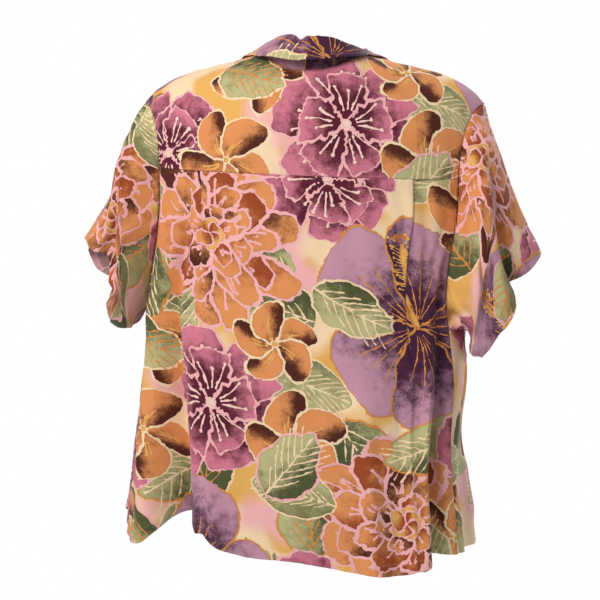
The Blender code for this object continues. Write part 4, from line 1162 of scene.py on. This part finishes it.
# places on one repeat, in metres, with later motifs on top
LAYOUT = rows_of(Motif, (
    (broad_leaf, 0.250, -0.030, 0.112, 250, 1), (broad_leaf, 0.035, -0.105, 0.110, 300, 2),
    (fine_leaf, -0.120, -0.045, 0.115, 150, 3), (broad_leaf, -0.265, -0.160, 0.112, 80, 4),
    (frond, 0.195, -0.290, 0.160, 95, 5), (broad_leaf, -0.010, -0.300, 0.112, 235, 6),
    (fine_leaf, 0.080, -0.240, 0.115, 200, 7), (broad_leaf, -0.205, -0.250, 0.112, 300, 8),
    (broad_leaf, 0.200, -0.360, 0.110, 330, 9), (frond, -0.190, -0.565, 0.150, 60, 10),
    (broad_leaf, 0.080, -0.560, 0.112, 100, 11), (fine_leaf, 0.265, -0.420, 0.112, 280, 12),
    (broad_leaf, -0.060, -0.540, 0.110, 330, 13), (frond, 0.030, -0.010, 0.150, 60, 14),
    (broad_leaf, -0.255, -0.380, 0.112, 100, 15), (fine_leaf, 0.200, -0.170, 0.110, 20, 16),
    (broad_leaf, 0.005, -0.190, 0.105, 20, 17), (broad_leaf, -0.160, -0.340, 0.108, 160, 18),
    (broad_leaf, 0.150, -0.395, 0.105, 100, 19), (fine_leaf, -0.140, -0.130, 0.112, 210, 60),
    (broad_leaf, -0.285, -0.460, 0.105, 20, 61), (broad_leaf, 0.020, -0.455, 0.108, 80, 62),
    (ruffled, -0.025, -0.030, 0.074, 40, 21), (ruffled, 0.135, -0.285, 0.084, 200, 22),
    (ruffled, 0.035, -0.530, 0.080, 100, 23), (ruffled, -0.235, -0.325, 0.078, 300, 24),
    (ruffled, -0.230, -0.525, 0.074, 150, 25), (pinwheel, 0.040, -0.330, 0.058, 60, 51),
    (pinwheel, 0.245, -0.215, 0.056, 20, 52), (hibiscus, 0.175, -0.485, 0.112, 250, 31),
    (layered, 0.120, -0.095, 0.108, 20, 41), (hibiscus, -0.110, -0.190, 0.120, 40, 32),
    (layered, -0.085, -0.410, 0.110, 75, 42), (pinwheel, -0.215, -0.070, 0.056, 80, 53),
    (pinwheel, 0.270, -0.330, 0.052, 190, 54), (pinwheel, -0.195, -0.435, 0.050, 10, 55),
    (pinwheel, 0.055, -0.215, 0.046, 140, 56), (broad_leaf, 0.005, -0.150, 0.095, 215, 71),
    (broad_leaf, 0.225, -0.115, 0.100, 290, 72), (fine_leaf, -0.005, -0.395, 0.100, 15, 73),
    (broad_leaf, 0.075, -0.385, 0.092, 130, 74), (broad_leaf, -0.150, -0.310, 0.095, 335, 75),
    (broad_leaf, -0.285, -0.215, 0.095, 200, 76), (fine_leaf, -0.045, -0.510, 0.100, 195, 77),
    (broad_leaf, 0.115, -0.560, 0.090, 10, 78), (broad_leaf, -0.170, -0.500, 0.090, 80, 79),
))


def own_axes(shape, spots):
    """Lengths along and across a shape, from its base. Its bend is straightened out."""
    along = spots[..., 0] * cos(shape.angle) + spots[..., 1] * sin(shape.angle)
    across = spots[..., 1] * cos(shape.angle) - spots[..., 0] * sin(shape.angle)
    return along, across - shape.bend * along**2 / shape.length


def petal_field(petal, spots):
    """How far each spot is inside a petal's outline, and how far its wash is from dark to light.

    The outline swells as share**taper and closes as (1 - share)**tip, with two ripples of its edge on top.
    """
    along, across = own_axes(petal, spots)
    share = np.clip(along / petal.length, 1e-3, 1 - 1e-3)
    widest = petal.taper / (petal.taper + petal.tip)
    peak = widest**petal.taper * (1 - widest) ** petal.tip
    half = petal.width * share**petal.taper * (1 - share) ** petal.tip / peak
    slope = half * (petal.taper / share - petal.tip / (1 - share)) / petal.length
    round_it = np.arctan2(across / petal.width, share - 0.45)
    ripple = petal.frill * np.sin(petal.ruffles * round_it + 40 * petal.x) * smooth((share - 0.25) / 0.3)
    ripple = ripple + petal.frill / 2 * np.sin(2.3 * petal.ruffles * round_it + 90 * petal.y)
    inside = (half + ripple - np.abs(across)) / np.sqrt(1 + slope**2)
    beyond = np.maximum(along - petal.length, -along)
    inside = np.where(beyond > 0, -np.hypot(beyond, across), inside)
    wash = petal.wash.start + petal.wash.along * share + petal.wash.across * across / petal.width
    return inside, wash + petal.wash.deep * (1 - np.abs(across) / petal.width)


def stroke_field(stroke, spots):
    """Lengths along, across and back from the tip of a stroke, and how far each spot is from its edge."""
    along, across = own_axes(stroke, spots)
    back = stroke.length - along
    stem = np.maximum(np.abs(across) - stroke.pen, np.maximum(-along, -back))
    return np.stack([along, across, back], axis=-1), np.minimum(stem, np.hypot(back, across) - stroke.drop)


def paint(corners):
    """The petals and strokes that show on each face, as mesh attributes, from its corners' places on the cloth."""
    corners = corners / PRINTED
    count = len(corners)
    middles = corners.mean(axis=1)
    attributes = {}
    for k in range(PETAL_SLOTS):
        attributes[f"petal_{k}"] = np.tile(np.array([-1, 0, 0], np.float32), (count, 4, 1))
        for part in ("dark", "light", "edge"):
            attributes[f"{part}_{k}"] = np.ones((count, 4), np.float32)
    for k in range(STROKE_SLOTS):
        attributes[f"stroke_{k}"] = np.full((count, 4, 3), 1.0, np.float32)
        attributes[f"ink_{k}"] = np.ones((count, 4), np.float32)
        attributes[f"pen_{k}"] = np.zeros((count, 3), np.float32)
    petals, strokes = np.zeros(count, int), np.zeros(count, int)
    done = np.zeros(count, bool)
    shapes = []
    for motif in LAYOUT:
        drawing = Drawing(motif)
        motif.draw(drawing, motif.size)
        shapes += drawing.shapes
    for shape in reversed(shapes):
        apart = (middles - [shape.x, shape.y] + TILE / 2) % TILE - TILE / 2
        reach = shape.length * 1.12 + 0.006  # no shape passes this distance from its base
        near = np.flatnonzero(~done & (np.abs(apart).max(axis=1) < reach))
        if not len(near):
            continue
        spots = corners[near] - middles[near][:, None] + apart[near][:, None]
        if isinstance(shape, Petal):
            inside, wash = petal_field(shape, spots)
            margin = shape.rim * RIM_SPREAD + MARGIN
            shown = (inside.max(axis=1) > -margin) & (petals[near] < PETAL_SLOTS)
            made = np.stack([inside, wash, np.full_like(wash, shape.rim)], axis=-1)
            for k in range(PETAL_SLOTS):
                pick = shown & (petals[near] == k)
                attributes[f"petal_{k}"][near[pick]] = made[pick]
                for part, name in (("dark", shape.dark), ("light", shape.light), ("edge", shape.edge)):
                    attributes[f"{part}_{k}"][near[pick], :3] = linear(INK[name])
            petals[near[shown]] += 1
            done[near[shown & (inside.min(axis=1) > margin)]] = True
        else:
            made, away = stroke_field(shape, spots)
            shown = (away.min(axis=1) < MARGIN) & (strokes[near] < STROKE_SLOTS) & (petals[near] < 2)
            for k in range(STROKE_SLOTS):
                pick = shown & (strokes[near] == k)
                attributes[f"stroke_{k}"][near[pick]] = made[pick]
                attributes[f"ink_{k}"][near[pick], :3] = linear(INK[shape.ink])
                attributes[f"pen_{k}"][near[pick], 0] = shape.pen
                attributes[f"pen_{k}"][near[pick], 1] = shape.drop
                attributes[f"pen_{k}"][near[pick], 2] = petals[near[pick]]
            strokes[near[shown]] += 1
    return attributes


# ---- Materials ----

SHARP = 4000.0  # how quickly one colour gives way to the next, per metre


def rgba(colour):
    """An sRGB colour as a shader's socket takes it."""
    return tuple(linear(colour)) + (1,)


class Nodes:
    """Builds a node tree: each call adds a node and gives back its output."""

    def __init__(self, tree):
        self.tree = tree

    def add(self, kind, values=(), output=0, **settings):
        node = self.tree.nodes.new(f"ShaderNode{kind}")
        for name, value in settings.items():
            setattr(node, name, value)
        for key, value in dict(values).items():
            if isinstance(value, bpy.types.NodeSocket):
                self.give(value, node, key)
            else:
                node.inputs[key].default_value = value
        return node.outputs[output]

    def give(self, value, node, key):
        """Joins an output to one of a node's inputs."""
        self.tree.links.new(value, node.inputs[key])

    def math(self, operation, *values, clamp=False):
        return self.add("Math", enumerate(values), operation=operation, use_clamp=clamp)

    def times(self, value, by, clamp=False):
        return self.math("MULTIPLY", value, by, clamp=clamp)

    def times_plus(self, value, by, more):
        return self.math("MULTIPLY_ADD", value, by, more)

    def less(self, value, by):
        return self.math("SUBTRACT", value, by)

    def shade(self, colour, by):
        return self.add("VectorMath", {0: colour, 1: by}, operation="MULTIPLY")

    def attribute(self, name, output="Vector"):
        return self.add("Attribute", output=output, attribute_name=name)

    def split(self, vector):
        return self.add("SeparateXYZ", {0: vector}).node.outputs[:]

    def mix(self, share, low, high):
        return self.add("Mix", {0: share, 6: low, 7: high}, output=2, data_type="RGBA")

    def noise(self, vector, scale, detail, rough=0.5):
        return self.add("TexNoise", {"Vector": vector, "Scale": scale, "Detail": detail, "Roughness": rough})

    def centred(self, *noise):
        """Noise about 0."""
        return self.less(self.noise(*noise), 0.5)

    def shifted(self, vector, shift):
        return self.add("VectorMath", {0: vector, 1: shift})

    def scaled(self, vector, scale):
        return self.add("Mapping", {"Vector": vector, "Scale": scale})

    def ramp(self, value, low=0.0, high=1.0, kind="SMOOTHSTEP"):
        """0 up to low, 1 from high on."""
        return self.add("MapRange", {0: value, 1: low, 2: high}, interpolation_type=kind)

    def step(self, value, edge):
        """0 below an edge, 1 above it."""
        return self.times(self.less(value, edge), SHARP, clamp=True)


def ground_colour(n, place, uneven):
    """The cloth between the motifs: cream that turns to gold and pink in places, with pale brown specks."""
    cream, gold, blush = (rgba(INK[name]) for name in ("cream", "gold", "blush"))
    yellow = n.ramp(n.noise(place, 12.0, 1.0), 0.44, 0.56)
    pink = n.ramp(n.noise(n.shifted(place, (3, 5, 0)), 10.0, 1.0), 0.52, 0.64, "LINEAR")
    colour = n.mix(pink, n.mix(yellow, cream, gold), blush)
    return n.mix(n.times(uneven, 0.35, clamp=True), colour, rgba((0.83, 0.70, 0.58)))


def print_group():
    """The node group that colours the cloth from its painted attributes, and gives its weave's relief."""
    tree = bpy.data.node_groups.new("print", "ShaderNodeTree")
    tree.interface.new_socket("Color", in_out="OUTPUT", socket_type="NodeSocketColor")
    tree.interface.new_socket("Relief", in_out="OUTPUT", socket_type="NodeSocketFloat")
    n = Nodes(tree)
    place = n.attribute("cloth_place")
    # how far the brush strays; how wide its line is, as a share; and how uneven the ink lies
    wobble = n.times(n.centred(place, 260, 2.5), WOBBLE_FINE)
    wobble = n.times_plus(n.centred(place, 75, 1.0), WOBBLE_BROAD, wobble)
    width = n.times_plus(n.noise(n.shifted(place, (7, 2, 0)), 120, 1.5), 2.0, 0.1)
    mottle = n.times(n.centred(place, 62, 4.0, 0.66), MOTTLE)
    uneven = n.math("ADD", mottle, n.times(n.centred(place, 700, 1.5), GRAIN))
    colour = ground_colour(n, place, uneven)
    # petals, from the lowest to the highest: each with its wash, a darker pool at its edge and its rim
    for k in reversed(range(PETAL_SLOTS)):
        inside, wash, rim = n.split(n.attribute(f"petal_{k}"))
        inside = n.math("ADD", inside, wobble)
        rim = n.times(rim, width)
        wash = n.ramp(n.math("ADD", wash, uneven))
        paint = n.mix(wash, n.attribute(f"dark_{k}", "Color"), n.attribute(f"light_{k}", "Color"))
        pool = n.times(n.less(inside, rim), 500.0, clamp=True)
        paint = n.shade(paint, n.times_plus(pool, 0.26, 0.74))
        outer = n.step(inside, n.times(rim, -1.0))
        colour = n.mix(outer, colour, n.attribute(f"edge_{k}", "Color"))
        colour = n.mix(n.step(inside, rim), colour, paint)
    # strokes: each a stem and a drop at its tip, hidden where a petal lies above it
    for k in reversed(range(STROKE_SLOTS)):
        along, across, back = n.split(n.attribute(f"stroke_{k}"))
        pen, drop, above = n.split(n.attribute(f"pen_{k}"))
        across = n.times_plus(wobble, 0.7, across)
        stem = n.less(n.math("ABSOLUTE", across), n.times(pen, width))
        beyond = n.math("MAXIMUM", n.times(along, -1.0), n.times(back, -1.0))
        far = n.math("SQRT", n.times_plus(across, across, n.times(back, back)))
        away = n.math("MINIMUM", n.math("MAXIMUM", stem, beyond), n.less(far, drop))
        shown = n.step(n.times_plus(wobble, 0.45, n.times(away, -1.0)), 0.0)
        hidden = n.times(outer, above, clamp=True)
        colour = n.mix(n.times(shown, n.less(1.0, hidden)), colour, n.attribute(f"ink_{k}", "Color"))
    # the weave: its yarns one way with their slubs, and the other way
    slub = n.noise(n.scaled(place, (1400, 45, 1)), 1.0, 2.0)
    across_yarn = n.noise(n.scaled(place, (60, 2600, 1)), 1.0, 1.0)
    out = tree.nodes.new("NodeGroupOutput")
    n.give(n.shade(colour, n.times_plus(slub, 0.16, 0.92)), out, "Color")
    n.give(n.math("ADD", slub, across_yarn), out, "Relief")
    return tree


def make_material(name, values):
    """A material with values on its shader's own sockets."""
    material = bpy.data.materials.new(name)
    material.use_nodes = True
    shader = material.node_tree.nodes["Principled BSDF"]
    for socket, value in values.items():
        shader.inputs[socket].default_value = value
    return material, Nodes(material.node_tree), shader


def make_cloth_material(name, group, muted):
    """The printed cloth. muted pales the colours, as on the wrong side of a print."""
    values = {"Roughness": 0.86, "Sheen Weight": 0.12, "Sheen Roughness": 0.45, "Specular IOR Level": 0.25}
    _, n, shader = make_material(name, values)
    printed = n.add("Group", node_tree=group).node.outputs
    colour = printed["Color"]
    if muted:
        colour = n.mix(0.50, colour, (0.47, 0.36, 0.34, 1))
    n.give(colour, shader, "Base Color")
    n.give(n.add("Bump", {"Height": printed["Relief"], "Strength": 0.35, "Distance": 0.00035}), shader, "Normal")


def make_button_material():
    """Dark brown in bands, under a clear coat."""
    _, n, shader = make_material("button_brown", {"Roughness": 0.32, "Coat Weight": 0.3})
    bands = n.noise(n.scaled(n.add("TexCoord", output="Object"), (1, 1, 4)), 260, 3.0, 0.6)
    ramp = n.add("ValToRGB", {0: bands})
    low, high = ramp.node.color_ramp.elements
    low.color, low.position = (0.055, 0.022, 0.010, 1), 0.35
    high.color, high.position = (0.23, 0.105, 0.045, 1), 0.68
    n.give(ramp, shader, "Base Color")


def make_thread_material():
    """Twisted pink thread."""
    _, n, shader = make_material("thread", {"Roughness": 0.7})
    twist = n.add("TexWave", {"Vector": n.add("TexCoord", output="Object"), "Scale": 900.0, "Distortion": 2.0})
    n.give(n.mix(twist, (0.62, 0.40, 0.36, 1), (0.80, 0.58, 0.52, 1)), shader, "Base Color")


# ---- Pieces ----

painted = []  # each cloth piece with its corners' places on the flat cloth, painted together at the end
Cut = namedtuple("Cut", "x y width length area rests_on")
CUTS = {  # where each piece is cut from the printed cloth, and the size and area of what shows of it, laid flat
    "shirt_back": Cut(0.000, -0.030, 0.65, 0.52, 0.262, ("shirt_yoke",)),
    "shirt_yoke": Cut(0.210, -0.395, 0.55, 0.24, 0.083, ()),
    "shirt_front_left": Cut(0.150, -0.260, 0.32, 0.70, 0.189, ("shirt_yoke",)),
    "shirt_front_right": Cut(-0.170, -0.480, 0.32, 0.70, 0.194, ("shirt_yoke",)),
    "shirt_sleeve_left": Cut(-0.180, -0.420, 0.46, 0.22, 0.074, ("shirt_yoke",)),
    "shirt_sleeve_right": Cut(0.060, -0.610, 0.46, 0.22, 0.074, ("shirt_yoke",)),
    "shirt_collar": Cut(-0.090, -0.300, 0.45, 0.087, 0.023, ("shirt_yoke",)),
    "shirt_lapel_left": Cut(0.120, -0.120, 0.075, 0.101, 0.0037, ("shirt_front_left",)),
    "shirt_lapel_right": Cut(-0.240, -0.200, 0.075, 0.101, 0.0037, ("shirt_front_right",)),
}


def link(name, mesh):
    obj = bpy.data.objects.new(name, mesh)
    bpy.context.scene.collection.objects.link(obj)
    return obj


def quads(grid):
    """The faces between the rows and columns of a grid of vertices."""
    return np.stack([grid[:-1, :-1], grid[:-1, 1:], grid[1:, 1:], grid[1:, :-1]], axis=-1)


def make_mesh(name, points, faces, *materials):
    mesh = bpy.data.meshes.new(name)
    mesh.from_pydata(points.reshape(-1, 3).tolist(), [], faces.tolist())
    mesh.shade_smooth()
    for material in materials:
        mesh.materials.append(bpy.data.materials[material])
    return mesh


def sew(name, points, flat, flip, strands, keep=None, thickness=CLOTH, inside="cloth_inside"):
    """A cut piece as a thin shell of cloth in place of its solid, with its stitches."""
    cut = CUTS[name]
    faces = quads(np.arange(points[..., 0].size).reshape(points.shape[:2]))
    faces = faces[keep] if keep is not None else faces.reshape(-1, 4)
    if flip:
        faces = faces[:, ::-1]
    used, faces = np.unique(faces, return_inverse=True)
    faces = faces.reshape(-1, 4)
    mesh = make_mesh(name, points.reshape(-1, 3)[used], faces, "cloth_print", inside)
    corners = (flat.reshape(-1, 2)[used] + (cut.x, cut.y))[faces]
    mesh.uv_layers.new(name="cloth").data.foreach_set("uv", corners.astype(np.float32).ravel())
    obj = link(name, mesh)
    wall = obj.modifiers.new("wall", "SOLIDIFY")
    wall.thickness = thickness
    wall.offset = -1
    wall.material_offset = 1
    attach(obj, "root")
    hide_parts(name.removeprefix("shirt_"))
    painted.append((obj, corners))
    stitches = [sew_on(f"{name}_stitches", strands)] if strands else []


def sew_on(name, strands):
    """Strands of thread joined in one piece."""
    corners = np.concatenate(strands)
    faces = (np.arange(len(corners))[:, None, None] * 6 + np.array(DASH)).reshape(-1, 3)
    obj = link(name, make_mesh(name, corners, faces, "thread"))
    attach(obj, "root")
    return obj


def paint_pieces():
    """Gives each cloth piece its part of the print, as attributes of its mesh."""
    attributes = paint(np.concatenate([corners for _, corners in painted]))
    start = 0
    for obj, corners in painted:
        stop = start + len(corners)
        place = obj.data.attributes.new("cloth_place", "FLOAT_VECTOR", "CORNER")
        flat = np.concatenate([corners, np.zeros(corners.shape[:2] + (1,))], axis=-1)
        place.data.foreach_set("vector", flat.astype(np.float32).ravel())
        for name, values in attributes.items():
            domain = "CORNER" if values.ndim == 3 else "FACE"
            kind, field = ("FLOAT_COLOR", "color") if values.shape[-1] == 4 else ("FLOAT_VECTOR", "vector")
            made = obj.data.attributes.new(name, kind, domain)
            made.data.foreach_set(field, np.ascontiguousarray(values[start:stop]).ravel())
        start = stop


# ---- The scene ----

CAMERA_AZIMUTH, CAMERA_ELEVATION = 188.0, 7.5
CAMERA_DISTANCE, CAMERA_LENS = 2.5, 112.5
CAMERA_AIM = Vector((0.017, 0.0, -0.317))
FLOOR_Z = -1.45
FLOOR_HALF = 6.0


def aim(obj, azimuth, elevation, distance):
    """Puts an object where it looks at the shirt from these angles."""
    azimuth, elevation = radians(azimuth), radians(elevation)
    back = Vector((sin(azimuth) * cos(elevation), -cos(azimuth) * cos(elevation), sin(elevation)))
    obj.location = CAMERA_AIM + back * distance
    obj.rotation_euler = back.to_track_quat("Z", "Y").to_euler()


def make_camera():
    data = bpy.data.cameras.new("camera")
    data.lens = CAMERA_LENS
    obj = link("camera", data)
    aim(obj, CAMERA_AZIMUTH, CAMERA_ELEVATION, CAMERA_DISTANCE)
    bpy.context.scene.camera = obj


def make_light(name, azimuth, elevation, distance, size, watts, colour):
    data = bpy.data.lights.new(name, "AREA")
    data.size, data.energy, data.color = size, watts, colour
    aim(link(name, data), azimuth, elevation, distance)


def make_world():
    """A white studio: what the camera sees of it is brighter than what it sheds."""
    world = bpy.data.worlds.new("studio")
    bpy.context.scene.world = world
    world.use_nodes = True
    n = Nodes(world.node_tree)
    shed = world.node_tree.nodes["Background"]
    shed.inputs["Color"].default_value = (1, 1, 1, 1)
    n.give(n.times_plus(n.add("LightPath", output="Is Camera Ray"), 0.60, 0.40), shed, "Strength")


def make_floor():
    """A pale floor that fades out away from the shirt."""
    mesh = bpy.data.meshes.new("floor")
    corners = [(x * FLOOR_HALF, y * FLOOR_HALF, FLOOR_Z) for x, y in ((-1, -1), (1, -1), (1, 1), (-1, 1))]
    mesh.from_pydata(corners, [], [(0, 1, 2, 3)])
    obj = link("floor", mesh)
    material, n, shader = make_material("floor_pale", {"Roughness": 0.9, "Base Color": (0.92, 0.92, 0.92, 1)})
    flat = n.shade(n.add("TexCoord", output="Object"), (1, 1, 0))
    far = n.add("VectorMath", {0: flat}, operation="LENGTH", output="Value")
    mixed = n.add("MixShader", {0: n.ramp(far, 0.8, 2.2), 1: shader.outputs[0], 2: n.add("BsdfTransparent")})
    n.give(mixed, n.tree.nodes["Material Output"], "Surface")
    mesh.materials.append(material)


def main():
    bpy.context.scene.view_settings.view_transform = "Standard"
    make_camera()
    make_world()
    make_light("key", CAMERA_AZIMUTH - 38, 36, 3.0, 1.5, 74, (1.0, 0.92, 0.89))
    make_light("fill", CAMERA_AZIMUTH + 140, 32, 3.0, 1.6, 58, (1.0, 1.0, 1.0))
    make_floor()
    group = print_group()
    make_cloth_material("cloth_print", group, False)
    make_cloth_material("cloth_inside", group, True)
    make_button_material()
    make_thread_material()
    make_back()
    make_yoke()
    make_front("front_left", 1)
    make_front("front_right", -1)
    make_sleeve("sleeve_left", 1, SLEEVE_LEFT, WAVES_LEFT, LEFT_CREASES, notches=CUFF_NOTCHES)
    make_sleeve("sleeve_right", -1, SLEEVE_RIGHT, WAVES_RIGHT, RIGHT_CREASES, UNDERARM_RECESS)
    make_collar()
    make_lapel("lapel_left", 1)
    make_lapel("lapel_right", -1)
    for number, level in enumerate(BUTTON_LEVELS, 1):
        make_button(number, level)
    paint_pieces()


main()
